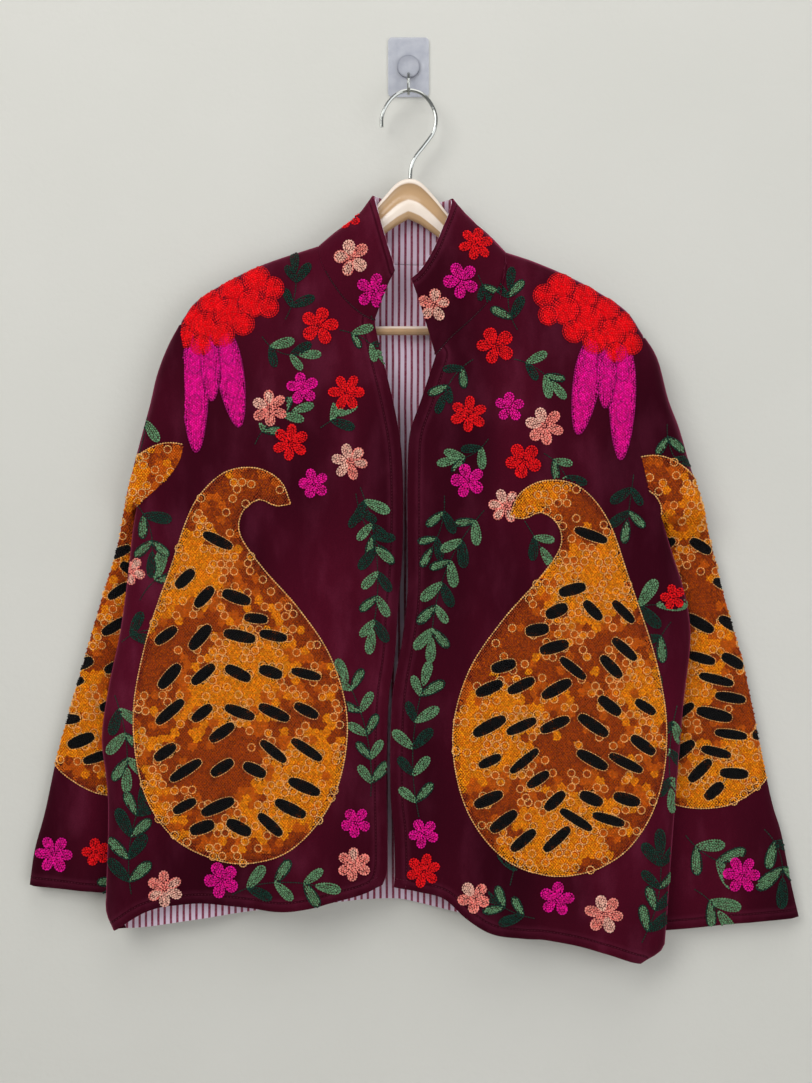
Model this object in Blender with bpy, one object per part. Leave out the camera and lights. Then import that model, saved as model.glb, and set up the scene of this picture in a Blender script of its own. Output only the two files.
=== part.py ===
"""A velvet jacket with a stand collar, on a hanger that hangs from a stick-on wall hook.

Metres, +Z up. The wall is the plane y = 0 and everything lies in front of it, at -Y.
The origin is the middle of the wall pad's back. Right and left are the wearer's,
so the right side is at -X. The tables are in millimetres, and MM turns them into metres.
"""

import math

import bmesh
import bpy
import numpy as np

MM = 0.001

# Cloth
WALL = 2.0  # velvet with its backing
LINING = 1.0  # striped cotton
SEAM = 0.3  # gap between pieces that are sewn together
SEAM_RADIUS = 16.0  # how far from a closed seam the cloth rounds over

# Depths of the body, measured along Y
HANG_Y = -22.0  # plane of the hanger
SHOULDER_HALF = 15.0  # half depth over the hanger
CHEST_HALF = 24.0  # front half depth from the chest down
TUCK_SHIFT = 8.0  # how far a side moves forward, in front of its sleeve
TUCK_FRONT_HALF = 12.0
TUCK_BACK_HALF = 9.5
TUCK_RUN = 60.0  # width of the bend where the back steps forward
TUCK_MARGIN = 20.0  # how far inside the sleeve's fold the step is complete
SLEEVE_EDGE_Y = -11.5  # middle plane of a hanging sleeve
SLEEVE_BACK_Y = -4.5  # its face on the wall side
SLEEVE_CLEAR = 2.6  # gap between a sleeve and the body in front of it
SLEEVE_GAP = 0.5  # gap between a sleeve and the armhole
UNDERARM_OUT = 5.0  # how far outside the side seam the underarm seam starts
UNDERARM_IN = 22.0  # how far inward it runs behind the body
SLEEVE_ROUND = 14.0  # how far from its folds a sleeve rounds over

# Heights between which the depths change, z of the start and length of the run
CHEST_TOP, CHEST_RUN = -230.0, 150.0  # the fronts swell out over the chest
TUCK_TOP, TUCK_DROP = -262.0, 110.0  # the sides move forward
SLEEVE_TOP, SLEEVE_RUN = -270.0, 110.0  # the sleeves turn flat against the wall
REACH_RUN = 60.0  # above the underarm, the sleeve's fold moves in behind the body
TOP_FOLD = 0.4  # where the fold lies at the shoulder, between the seam and the outer edge
SEAM_BACK_RUN = 30.0  # below the underarm, the underarm seam moves back
SEAM_IN_START, SEAM_IN_RUN = 22.0, 40.0  # and then inward

# Outlines seen from the front, x and z, each read from top to bottom or from inside out
NECK_RIGHT = [(-33, -253), (-46, -246), (-65, -228), (-82, -201), (-87, -179)]
SHOULDER_RIGHT = [(-87, -179), (-138, -196), (-176, -214), (-205, -233), (-219, -252)]
ARMHOLE_RIGHT = [(-219, -252), (-215, -285), (-213, -323), (-214, -363), (-219, -389), (-237, -411),
                 (-261, -431)]
SIDE_RIGHT = [(-261, -431), (-265, -457), (-270, -503), (-277, -553), (-287, -600), (-294, -650),
              (-290, -690), (-288, -723), (-290, -797), (-290, -819), (-283, -837)]
EDGE_RIGHT = [(-33, -253), (-27, -280), (-20, -308), (-13, -339), (-7, -375), (-5, -421), (-6, -480),
              (-10, -526), (-13, -572), (-19, -617), (-21, -693), (-20, -753), (-21, -778), (-25, -790)]
HEM_RIGHT = [(-25, -790), (-42, -798), (-73, -807), (-99, -813), (-127, -815), (-163, -811),
             (-207, -809), (-247, -815), (-283, -837)]
NECK_LEFT = [(26, -286), (40, -270), (62, -250), (82, -228), (92, -206), (94, -185)]
SHOULDER_LEFT = [(94, -185), (121, -194), (154, -208), (184, -224), (210, -242), (226, -265)]
ARMHOLE_LEFT = [(226, -265), (221, -290), (218, -323), (218, -363), (224, -393), (232, -423), (244, -445)]
SIDE_LEFT = [(244, -445), (253, -475), (262, -503), (269, -535), (270, -565), (264, -616), (261, -651),
             (255, -725), (251, -779), (247, -835), (243, -855), (224, -868)]
EDGE_LEFT = [(26, -286), (12, -329), (1, -362), (-1, -405), (-1, -450), (-1, -511), (-6, -556),
             (-14, -602), (-17, -648), (-17, -708), (-14, -738), (-13, -778), (-14, -792)]
HEM_LEFT = [(-14, -792), (10, -797), (34, -804), (55, -822), (77, -835), (110, -841), (138, -844),
            (182, -854), (224, -868)]
BACK_NECK = [(-87, -179), (-60, -189), (-25, -194), (25, -195), (65, -192), (94, -185)]
BACK_HEM = [(-283, -837), (-251, -835), (-202, -828), (-154, -823), (-105, -817), (-57, -813),
            (-15, -811), (9, -815), (45, -823), (108, -838), (166, -852), (224, -868)]

# Sleeves: outer edge from the shoulder point to the cuff, and the fold behind the body
SLEEVE_OUT_RIGHT = [(-219, -252), (-232, -276), (-243, -304), (-250, -332), (-264, -382), (-274, -424),
                    (-284, -475), (-295, -510), (-309, -558), (-327, -621), (-342, -675), (-353, -726),
                    (-363, -763), (-368, -797)]
SLEEVE_IN_RIGHT = [(-244, -431), (-215, -450), (-185, -475), (-163, -505), (-160, -545), (-172, -600),
                   (-200, -690), (-230, -812)]
SLEEVE_OUT_LEFT = [(226, -265), (240, -288), (251, -327), (262, -355), (273, -392), (285, -428),
                   (295, -471), (305, -512), (314, -544), (326, -587), (342, -665), (353, -717),
                   (362, -747), (371, -793), (379, -828)]
SLEEVE_IN_LEFT = [(228, -445), (200, -464), (172, -490), (155, -520), (156, -565), (168, -625),
                  (200, -730), (238, -840)]
CUFF_DROP = 13.0  # how much lower the cuff is on its body side
SLEEVE_DROPS = (6, 17, 34, 58, 90, 126, 165, 206, 248, 290, 330, 364)  # rows below the underarm

# Columns of a sleeve: fractions of its front face, its wall side and its return behind the body
FRONT_STEPS = (0.0, 0.35, 0.62, 0.82, 0.95, 1.0)
BACK_STEPS = (0.035, 0.12, 0.3, 0.52, 0.74, 0.9, 0.975, 1.0)
RETURN_STEPS = (0.03, 0.12, 0.35, 0.6, 0.8, 0.93, 1.0)

# Grid of a panel: fractions across from the front edge, and down from the shoulder
NECK_COLUMNS = (0.0, 0.08, 0.16, 0.24, 0.31, 0.38)
SHOULDER_COLUMNS = (0.47, 0.56, 0.65, 0.74, 0.82, 0.89, 0.946, 0.977, 0.992, 1.0)
ARMHOLE_ROWS = (0.0, 0.006, 0.0145, 0.028, 0.05, 0.085, 0.125, 0.17, 0.215, 0.25, 0.28, 0.31)
SIDE_ROWS = (0.335, 0.37, 0.42, 0.475, 0.53, 0.59, 0.65, 0.71, 0.77, 0.83, 0.89, 0.95, 1.0)
BACK_SIDE = (0.0, 0.0045, 0.0125, 0.028, 0.06, 0.1, 0.145, 0.195, 0.25, 0.31)
BACK_MIDDLE = (0.37, 0.435, 0.5, 0.565, 0.63)
BOW_FADE = 3  # how fast the shape of a top or bottom edge fades inside the panel
LINING_EDGE_COLUMNS = 3  # columns at a side seam that the lining leaves free
LINING_TOP_ROWS = 3  # rows below a shoulder seam that it leaves free

# Folds of a panel: run from top to bottom, half width, height (+ comes forward)
FOLD_START = 0.35  # part of its run over which a fold rises
FOLD_END = 0.25  # and over which it fades, past its lower end
FOLD_COLUMNS = ("x_top", "z_top", "x_bottom", "z_bottom", "width", "height")
FOLDS_FRONT = [
    (-62, -340, -50, -800, 15, 2.5),
    (-118, -430, -112, -815, 20, 4.5),
    (-170, -500, -196, -810, 18, -3.5),
    (-232, -520, -246, -815, 15, 3.0),
    (-200, -300, -150, -420, 20, 1.8),
    (46, -350, 30, -800, 15, -2.5),
    (96, -450, 84, -838, 20, 4.5),
    (146, -500, 158, -850, 18, -3.5),
    (200, -520, 206, -860, 15, 3.0),
    (200, -310, 152, -430, 20, 1.8),
]
FOLDS_BACK = [
    (-70, -330, -80, -820, 22, 3.5),
    (0, -300, -12, -815, 26, -2.0),
    (70, -330, 64, -830, 22, 3.5),
]

# Collar: top edge from the right front tip round the neck to the left one
COLLAR_TOP = [
    # x, y, z
    (-14, -56, -208),
    (-17, -53, -195),
    (-22, -49, -177),
    (-28, -43, -155),
    (-33, -35, -138),
    (-35, -26, -131),
    (-30, -17, -131),
    (-17, -12, -134),
    (2, -10.5, -136),
    (22, -12, -136),
    (37, -17, -134),
    (43, -26, -134),
    (40, -36, -147),
    (33, -44, -165),
    (24, -50, -187),
    (13, -55, -206),
    (3, -58, -216),
]
COLLAR_ROWS = (0.0, 0.22, 0.5, 0.78, 1.0)
COLLAR_BULGE = 3.0
COLLAR_GAP = 0.45
NECK_MIDDLE = np.array([3.0, -26.0, -190.0])

# Hanger
HANGER_MIDDLE = [
    # x, top, underside, half thickness
    (-86, -186, -203, 3.0),
    (-72, -178, -197, 3.5),
    (-58, -169, -190, 4.0),
    (-38, -148, -179, 4.0),
    (-24, -132, -168, 4.5),
    (-11, -118, -159, 5.5),
    (0, -114, -153, 6.0),
    (11, -117, -158, 6.0),
    (24, -130, -167, 4.5),
    (40, -150, -180, 4.0),
    (60, -172, -194, 4.0),
    (76, -186, -204, 3.5),
    (92, -192.5, -209, 3.0),
]
HANGER_ARM = (110, 128, 146, 164, 178, 190)  # distances from the middle
HANGER_ARM_HEIGHT = 20.0
HANGER_HALF = 8.0
HANGER_END = 201.0
HANGER_SIDES = 16
THIN_START, THIN_RUN = 40.0, 95.0  # the arms thin towards the neck, inside this stretch
END_DROP, END_HEIGHT, END_HALF = 5.0, 8.0, 4.0  # the rounded end of an arm
CLOTH_ON_ARM = WALL + 1.5  # the arms' top edge, below the outside of the shoulder seam
BAR_HALF_SPAN = 166.0
BAR_Z = -260.5
BAR_RADIUS = 4.4
BAR_BEND = 10.0
WIRE_RADIUS = 1.8
HOOK_ROUTE = [(-26, -64), (-25.5, -53), (-20, -41), (-11, -32), (1, -28.5), (13, -32), (22, -42),
              (26.5, -55), (24, -69), (15, -82), (6.5, -93), (2.5, -103), (1.5, -113.7)]
WALL_HOOK_ROUTE = [(-4.9, -8), (-8.5, -8.3), (-12.5, -11.5), (-15.3, -19), (-17, -27), (-22, -32),
                   (-27.2, -27.5), (-29, -19)]  # y, z
WALL_HOOK_RADIUS = 1.4
PAD_WIDTH, PAD_HEIGHT, PAD_THICK, PAD_CORNER = 40.0, 58.0, 1.6, 4.0
BOSS_RADIUS, BOSS_THICK = 11.0, 3.0

# Colours are sRGB, with roughness and metallic
FINISH = {
    "velvet": ((0.30, 0.07, 0.17), 0.9, 0.0),
    "striped_cotton": ((0.78, 0.68, 0.74), 0.85, 0.0),
    "ivory_plastic": ((0.90, 0.83, 0.73), 0.35, 0.0),
    "chrome": ((0.80, 0.80, 0.80), 0.15, 1.0),
    "clear_plastic": ((0.85, 0.88, 0.90), 0.1, 0.0),
}


def clear_scene():
    for thing in list(bpy.data.objects):
        bpy.data.objects.remove(thing, do_unlink=True)


def material(name):
    made = bpy.data.materials.get(name)
    if made:
        return made
    colour, roughness, metallic = FINISH[name]
    made = bpy.data.materials.new(name)
    made.use_nodes = True
    shader = made.node_tree.nodes["Principled BSDF"]
    linear = [((c + 0.055) / 1.055) ** 2.4 for c in colour]
    shader.inputs["Base Color"].default_value = (*linear, 1.0)
    shader.inputs["Roughness"].default_value = roughness
    shader.inputs["Metallic"].default_value = metallic
    made.diffuse_color = (*linear, 1.0)
    return made


def finish(thing, name, surface, smooth=True):
    thing.name = name
    thing.data.name = name
    thing.data.materials.clear()
    thing.data.materials.append(material(surface))
    if smooth and thing.type == "MESH":
        thing.data.shade_smooth()
        thing.data.set_sharp_from_angle(angle=math.radians(40))
    return thing


# Lines and distances


def spline(points, count):
    """A smooth line through the points, with count points at even steps of its length."""
    p = np.array(points, float)
    ends = np.vstack([2 * p[0] - p[1], p, 2 * p[-1] - p[-2]])
    t = np.linspace(0, 1, 13)[:-1, None]
    parts = []
    for a, b, c, d in zip(ends, ends[1:], ends[2:], ends[3:]):
        cubic = 2 * b + (c - a) * t + (2 * a - 5 * b + 4 * c - d) * t**2
        parts.append(0.5 * (cubic + (3 * b - a - 3 * c + d) * t**3))
    fine = np.vstack(parts + [p[-1:]])
    return at_fractions(fine, np.linspace(0, 1, count))


def at_fractions(line, fractions):
    """Points of a line at these fractions of its length."""
    line = np.asarray(line, float)
    steps = np.linalg.norm(np.diff(line, axis=0), axis=1)
    run = np.concatenate([[0], np.cumsum(steps)]) / steps.sum()
    return np.stack([np.interp(fractions, run, line[:, k]) for k in range(line.shape[1])], axis=1)


def two_part(first, second, fractions, split):
    """Points of two joined lines, whose shared end sits at the fraction split."""
    fractions = np.asarray(fractions)
    a = at_fractions(spline(first, 200), np.clip(fractions / split, 0, 1))
    b = at_fractions(spline(second, 200), np.clip((fractions - split) / (1 - split), 0, 1))
    return np.where((fractions <= split)[:, None], a, b)


def distance_to(points, line):
    """Distance of each point from a line, both in the plane of the front view."""
    a, b = line[:-1], line[1:]
    along = b - a
    offset = points[..., None, :] - a
    t = np.clip((offset * along).sum(-1) / (along**2).sum(-1), 0, 1)
    return np.linalg.norm(offset - t[..., None] * along, axis=-1).min(-1)


def smoothstep(value):
    value = np.clip(value, 0, 1)
    return value * value * (3 - 2 * value)


def rounding(distance, radius):
    """From 0 at an edge to 1 at the radius, as a quarter of an ellipse."""
    return np.sqrt(1 - (1 - np.clip(distance / radius, 0, 1)) ** 2)


# Depth of the body


CLOSED_LINES = [spline(line, 60) for line in (
    SHOULDER_RIGHT, SIDE_RIGHT, SLEEVE_OUT_RIGHT, SHOULDER_LEFT, SIDE_LEFT, SLEEVE_OUT_LEFT)]


def fold_line(side):
    """x of the fold behind the body at each z, continued up along the armhole."""
    armhole, fold = (ARMHOLE_RIGHT, SLEEVE_IN_RIGHT) if side < 0 else (ARMHOLE_LEFT, SLEEVE_IN_LEFT)
    line = np.array(armhole[:-1] + fold, float)
    return line[::-1, 1], np.abs(line[::-1, 0])


def tuck(x, z):
    """1 where the body lies in front of a sleeve, 0 where it doesn't."""
    inner = np.where(x < 0, np.interp(z, *fold_line(-1)), np.interp(z, *fold_line(1)))
    across = smoothstep((np.abs(x) - (inner - TUCK_MARGIN - TUCK_RUN)) / TUCK_RUN)
    down = smoothstep((TUCK_TOP - z) / TUCK_DROP)
    return across * down


def folds(x, z, table):
    total = np.zeros_like(x)
    for row in table:
        fold = dict(zip(FOLD_COLUMNS, row))
        t = (z - fold["z_top"]) / (fold["z_bottom"] - fold["z_top"])
        middle = fold["x_top"] + (fold["x_bottom"] - fold["x_top"]) * t
        rise = smoothstep(t / FOLD_START) * smoothstep((1 + FOLD_END - t) / FOLD_END)
        total += fold["height"] * rise * np.exp(-(((x - middle) / fold["width"]) ** 2))
    return total


def body_y(x, z, face):
    """y of the body's outer face: face -1 is the front, +1 the back."""
    tucked = tuck(x, z)
    points = np.stack([x, z], axis=-1)
    edge = np.min([distance_to(points, line) for line in CLOSED_LINES], axis=0)
    near = rounding(edge, SEAM_RADIUS)
    middle = HANG_Y - TUCK_SHIFT * tucked
    if face < 0:
        chest = smoothstep((CHEST_TOP - z) / CHEST_RUN)
        loose = SHOULDER_HALF + (CHEST_HALF - SHOULDER_HALF) * chest
        half = loose * (1 - tucked) + TUCK_FRONT_HALF * tucked
        half = half + folds(x, z, FOLDS_FRONT)
    else:
        half = SHOULDER_HALF * (1 - tucked) + TUCK_BACK_HALF * tucked
        half = half - folds(x, z, FOLDS_BACK)
    return middle + face * (near * half + SEAM / 2)


def patch(top, bottom, near, far, across, down):
    """Grid between four edges that meet at their ends.

    It is ruled between the near and the far edge. The bow of the top and bottom edges is
    added where they are close.
    """
    u = np.asarray(across)[None, :, None]
    v = np.asarray(down)[:, None, None]
    ruled = (1 - u) * near[:, None] + u * far[:, None]
    top_bow = top[None] - ((1 - u) * top[0] + u * top[-1])
    bottom_bow = bottom[None] - ((1 - u) * bottom[0] + u * bottom[-1])
    return ruled + top_bow * (1 - v) ** BOW_FADE + bottom_bow * v**BOW_FADE


# Walls


def grid_normals(grid, inside):
    """Unit normals of a grid that point away from its inside direction."""
    across = np.gradient(grid, axis=1)
    down = np.gradient(grid, axis=0)
    normal = np.cross(across, down)
    normal /= np.linalg.norm(normal, axis=2, keepdims=True)
    return -normal if inside * normal[len(grid) // 2, grid.shape[1] // 2, 1] > 0 else normal


def seam_away(edge, side):
    """Directions in the plane of the front view that lead off an armhole edge, away from the body."""
    tangent = np.gradient(edge, axis=0)
    away = np.stack([tangent[:, 2], np.zeros(len(edge)), -tangent[:, 0]], axis=1)
    away *= np.where(away[:, :1] * side > 0, 1, -1)
    return away / np.linalg.norm(away, axis=1, keepdims=True)


def square_to(normals, direction):
    """Normals turned so that the wall's edge faces along the direction."""
    turned = normals - (normals * direction).sum(-1, keepdims=True) * direction
    return turned / np.linalg.norm(turned, axis=-1, keepdims=True)


def offset(grid, normals, by):
    return grid - normals * by


def build_wall(name, surface, outer, inner, mask=None):
    """A closed solid between two grids, over the cells that the mask keeps."""
    rows, columns = outer.shape[:2]
    if mask is None:
        mask = np.ones((rows - 1, columns - 1), bool)
    size = rows * columns
    points = np.concatenate([outer.reshape(-1, 3), inner.reshape(-1, 3)]) * MM
    faces = []
    edges = {}
    for i, j in zip(*np.nonzero(mask)):
        loop = [i * columns + j, i * columns + j + 1, (i + 1) * columns + j + 1, (i + 1) * columns + j]
        for half in (loop[:3], loop[2:] + loop[:1]):
            faces.append(half)
            faces.append([size + k for k in reversed(half)])
        for a, b in zip(loop, loop[1:] + loop[:1]):
            edges[(a, b)] = (b, a)
    for (a, b), back in edges.items():
        if back not in edges:
            faces.append([b, a, size + a, size + b])
    mesh = bpy.data.meshes.new(name)
    mesh.from_pydata([tuple(p) for p in points], [], faces)
    mesh.validate()
    thing = bpy.data.objects.new(name, mesh)
    bpy.context.collection.objects.link(thing)
    select_only(thing)
    bpy.ops.object.mode_set(mode="EDIT")
    bpy.ops.mesh.select_all(action="SELECT")
    bpy.ops.mesh.delete_loose()
    bpy.ops.mesh.select_all(action="SELECT")
    bpy.ops.mesh.normals_make_consistent(inside=False)
    bpy.ops.object.mode_set(mode="OBJECT")
    return finish(thing, name, surface)


def select_only(thing):
    bpy.ops.object.select_all(action="DESELECT")
    thing.select_set(True)
    bpy.context.view_layer.objects.active = thing


def lift(flat, face):
    """The flat x, z grid, laid on the body's front or back."""
    x, z = flat[..., 0], flat[..., 1]
    return np.stack([x, body_y(x, z, face), z], axis=-1)


def front_panel(name, neck, shoulder, armhole, side, edge, hem):
    across = NECK_COLUMNS + SHOULDER_COLUMNS
    down = ARMHOLE_ROWS + SIDE_ROWS
    flat = patch(
        two_part(neck, shoulder, across, NECK_COLUMNS[-1]),
        at_fractions(spline(hem, 200), across),
        at_fractions(spline(edge, 300), down),
        two_part(armhole, side, down, ARMHOLE_ROWS[-1]),
        across,
        down,
    )
    outer = lift(flat, -1)
    normals = grid_normals(outer, 1)
    last = len(ARMHOLE_ROWS) - 1
    side_sign = 1 if side[0][0] > 0 else -1
    away = seam_away(outer[:last + 1, -1], side_sign)
    normals[1:last, -1] = square_to(normals[1:last, -1], away[1:last])
    normals[last:, -1, 1] = 0
    normals[0, len(NECK_COLUMNS) - 1:, 1] = 0
    normals /= np.linalg.norm(normals, axis=2, keepdims=True)
    inner = offset(outer, normals, WALL)
    build_wall(name, "velvet", outer, inner)
    return outer, inner


def back_panel():
    mirrored = tuple(1 - f for f in reversed(BACK_SIDE))
    across = BACK_SIDE + BACK_MIDDLE + mirrored
    down = ARMHOLE_ROWS + SIDE_ROWS
    left_point = mirrored[0]
    right_point = BACK_SIDE[-1]
    fractions = np.asarray(across)
    to_left = np.minimum(fractions / left_point, 1)
    top = two_part(SHOULDER_RIGHT[::-1], BACK_NECK, to_left, right_point / left_point)
    past = fractions > left_point
    rest = np.clip((fractions - left_point) / (1 - left_point), 0, 1)
    top = np.where(past[:, None], at_fractions(spline(SHOULDER_LEFT, 200), rest), top)
    flat = patch(
        top,
        at_fractions(spline(BACK_HEM, 300), across),
        two_part(ARMHOLE_RIGHT, SIDE_RIGHT, down, ARMHOLE_ROWS[-1]),
        two_part(ARMHOLE_LEFT, SIDE_LEFT, down, ARMHOLE_ROWS[-1]),
        across,
        down,
    )
    outer = lift(flat, 1)
    normals = grid_normals(outer, -1)
    last = len(ARMHOLE_ROWS) - 1
    neck = len(BACK_SIDE) - 1
    for column, side_sign in ((0, -1), (-1, 1)):
        away = seam_away(outer[:last + 1, column], side_sign)
        normals[1:last, column] = square_to(normals[1:last, column], away[1:last])
        normals[last:, column, 1] = 0
    normals[0, :neck + 1, 1] = 0
    normals[0, -neck - 1:, 1] = 0
    normals /= np.linalg.norm(normals, axis=2, keepdims=True)
    inner = offset(outer, normals, WALL)
    build_wall("back", "velvet", outer, inner)
    face = offset(outer, normals, WALL + SEAM)
    under = offset(outer, normals, WALL + SEAM + LINING)
    mask = np.ones((len(down) - 1, len(across) - 1), bool)
    mask[:, :LINING_EDGE_COLUMNS] = False
    mask[:, -LINING_EDGE_COLUMNS:] = False
    mask[:LINING_TOP_ROWS, :neck + 1] = False
    mask[:LINING_TOP_ROWS, -neck - 1:] = False
    build_wall("back_lining", "striped_cotton", face, under, mask)
    return outer, inner


# Sleeves


def sleeve(name, side, front, back, outer_line, inner_line, body_side):
    """Rows run from the front seam round the outer edge and the fold to the back seam.

    Above the underarm the two seams are the body's armhole edges. Below it they meet in
    one underarm seam, which runs down behind the body.
    """
    back_column = 0 if side < 0 else -1
    out_line = spline(outer_line, 200)[::-1]
    in_line = spline(inner_line, 200)[::-1]
    side_line = spline(body_side, 200)[::-1]
    armhole = front[:len(ARMHOLE_ROWS), -1]
    back_edge = back[:len(ARMHOLE_ROWS), back_column]
    underarm = armhole[-1, 2]
    away = seam_away(armhole, side)
    rows = []
    for k in range(1, len(ARMHOLE_ROWS)):
        z = armhole[k, 2]
        start = armhole[k] + away[k] * SLEEVE_GAP
        end = back_edge[k] + away[k] * SLEEVE_GAP
        out_x = np.interp(z, out_line[:, 1], out_line[:, 0])
        low = smoothstep((SLEEVE_TOP - z) / SLEEVE_RUN)
        reach = smoothstep((underarm + REACH_RUN - z) / REACH_RUN)
        overlap = reach * (inner_line[0][0] - armhole[-1, 0])
        fold_x = back_edge[k, 0] + overlap + (1 - reach) * TOP_FOLD * (out_x - back_edge[k, 0])
        rows.append(sleeve_row(side, start, end, (out_x, z), (fold_x, z), low, reach))
    cuff = outer_line[-1][1]
    for step in np.array(SLEEVE_DROPS) / SLEEVE_DROPS[-1]:
        z = underarm + (cuff - underarm) * step
        out_x = np.interp(z, out_line[:, 1], out_line[:, 0])
        fold_z = z - CUFF_DROP * step**2
        fold_x = np.interp(fold_z, in_line[:, 1], in_line[:, 0])
        side_x = np.interp(z, side_line[:, 1], side_line[:, 0])
        back_step = smoothstep((underarm - z) / SEAM_BACK_RUN)
        in_step = smoothstep((underarm - z - SEAM_IN_START) / SEAM_IN_RUN)
        seam_x = side_x + side * (UNDERARM_OUT - (UNDERARM_OUT + UNDERARM_IN) * in_step)
        seam_z = z + (fold_z - z) * (seam_x - out_x) / (fold_x - out_x)
        near_y = body_y(np.array([side_x]), np.array([z]), 1)[0] + SLEEVE_CLEAR
        seam_y = near_y + back_step * TUCK_BACK_HALF
        half_gap = side * SEAM / 2
        start = (seam_x + half_gap, seam_y, seam_z)
        end = (seam_x - half_gap, seam_y, seam_z)
        rows.append(sleeve_row(side, start, end, (out_x, z), (fold_x, fold_z), 1.0, 1.0))
    outer = np.array(rows)
    normals = np.cross(np.gradient(outer, axis=1), np.gradient(outer, axis=0))
    normals /= np.linalg.norm(normals, axis=2, keepdims=True)
    if normals[-2, 2, 1] > 0:
        normals = -normals
    joined = len(ARMHOLE_ROWS) - 1
    normals[:joined, 0] = square_to(normals[:joined, 0], away[1:])
    inner = offset(outer, normals, WALL)
    build_wall(name, "velvet", outer, inner)
    return outer, inner


def sleeve_row(side, start, end, out, fold, low, reach):
    """One row of a sleeve, from its front seam to its back seam.

    low goes from 0 at the shoulder to 1 where the sleeve hangs free, and reach from 0 to 1
    as the fold moves in behind the body.
    """
    out_y = HANG_Y + (SLEEVE_EDGE_Y - HANG_Y) * low
    back_y = end[1] + (SLEEVE_BACK_Y - end[1]) * low
    fold_y = back_y + (SLEEVE_EDGE_Y - back_y) * low
    points = []
    width = abs(out[0] - start[0])
    for t in FRONT_STEPS:
        x = start[0] + (out[0] - start[0]) * t
        y = out_y + (start[1] - out_y) * rounding((1 - t) * width, min(width, SLEEVE_ROUND))
        points.append((x, y, start[2] + (out[1] - start[2]) * t))
    width = abs(fold[0] - out[0])
    radius = min(width / 2, SLEEVE_ROUND)
    for t in BACK_STEPS:
        x = out[0] + (fold[0] - out[0]) * t
        edge_y, room = (out_y, t * width) if t < 0.5 else (fold_y, (1 - t) * width)
        y = edge_y + (back_y - edge_y) * rounding(room, radius)
        points.append((x, y, out[1] + (fold[1] - out[1]) * t))
    width = abs(end[0] - fold[0])
    for t in RETURN_STEPS:
        x = fold[0] + (end[0] - fold[0]) * t
        behind = body_y(np.array([x - UNDERARM_OUT * side]), np.array([fold[1]]), 1)[0] + SLEEVE_CLEAR
        flat_y = end[1] + (max(behind, end[1]) - end[1]) * reach
        ease = t + (rounding(t * width, min(width, SLEEVE_ROUND)) - t) * reach
        y = end[1] if t == 1.0 else fold_y + (flat_y - fold_y) * ease
        points.append((x, y, fold[1] + (end[2] - fold[1]) * t))
    return points


# Collar


def collar(right, left, back):
    """A strip round the neck, whose lower edge follows the panels' neck edges."""
    neck = len(NECK_COLUMNS) - 1
    side = len(BACK_SIDE) - 1
    last = len(BACK_SIDE) + len(BACK_MIDDLE)
    low = np.vstack([
        right[0, :neck],
        (right[0, neck] + back[0, side]) / 2,
        back[0, side + 1:last],
        (left[0, neck] + back[0, last]) / 2,
        left[0, :neck][::-1],
    ])
    top = spline(COLLAR_TOP, 200)
    run = np.linalg.norm(np.diff(low, axis=0), axis=1)
    top = at_fractions(top, np.concatenate([[0], np.cumsum(run)]) / run.sum())
    rise = top - low
    length = np.linalg.norm(rise, axis=1, keepdims=True)
    foot = low + rise / length * COLLAR_GAP
    steps = np.array(COLLAR_ROWS)[:, None, None]
    outer = foot + (top - foot) * steps
    normals = grid_normals(outer, -1)
    outward = ((outer - NECK_MIDDLE)[..., :2] * normals[..., :2]).sum(-1, keepdims=True)
    normals *= np.where(outward < 0, -1, 1)
    outer = outer + normals * COLLAR_BULGE * np.sin(np.pi * steps)
    inner = offset(outer, normals, WALL)
    to_middle = NECK_MIDDLE - foot
    to_middle[:, 2] = 0
    inner[0] = foot + to_middle / np.linalg.norm(to_middle, axis=1, keepdims=True) * WALL
    build_wall("collar", "velvet", outer, inner)
    inward = inner - outer
    inward /= np.linalg.norm(inward, axis=2, keepdims=True)
    face = (inner + inward * SEAM)[:, 1:-1]
    under = (inner + inward * (SEAM + LINING))[:, 1:-1]
    face[0] += rise[1:-1] / length[1:-1] * SEAM
    under[0] += rise[1:-1] / length[1:-1] * SEAM
    build_wall("collar_lining", "striped_cotton", face, under)


# Hanger and wall hook


def shoulder_height(x):
    line = spline(SHOULDER_RIGHT if x < 0 else SHOULDER_LEFT, 200)
    order = np.argsort(line[:, 0])
    return float(np.interp(x, line[order, 0], line[order, 1]))


def arm_ring(x):
    """One section of an arm, which follows the shoulder seam and thins towards the neck."""
    top = shoulder_height(x) - CLOTH_ON_ARM
    half = HANGER_HALF * smoothstep((abs(x) - THIN_START) / THIN_RUN)
    return (x, top, top - HANGER_ARM_HEIGHT, half)


def end_ring(x):
    top = shoulder_height(x) - CLOTH_ON_ARM - END_DROP
    return (x, top, top - END_HEIGHT, END_HALF)


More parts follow.
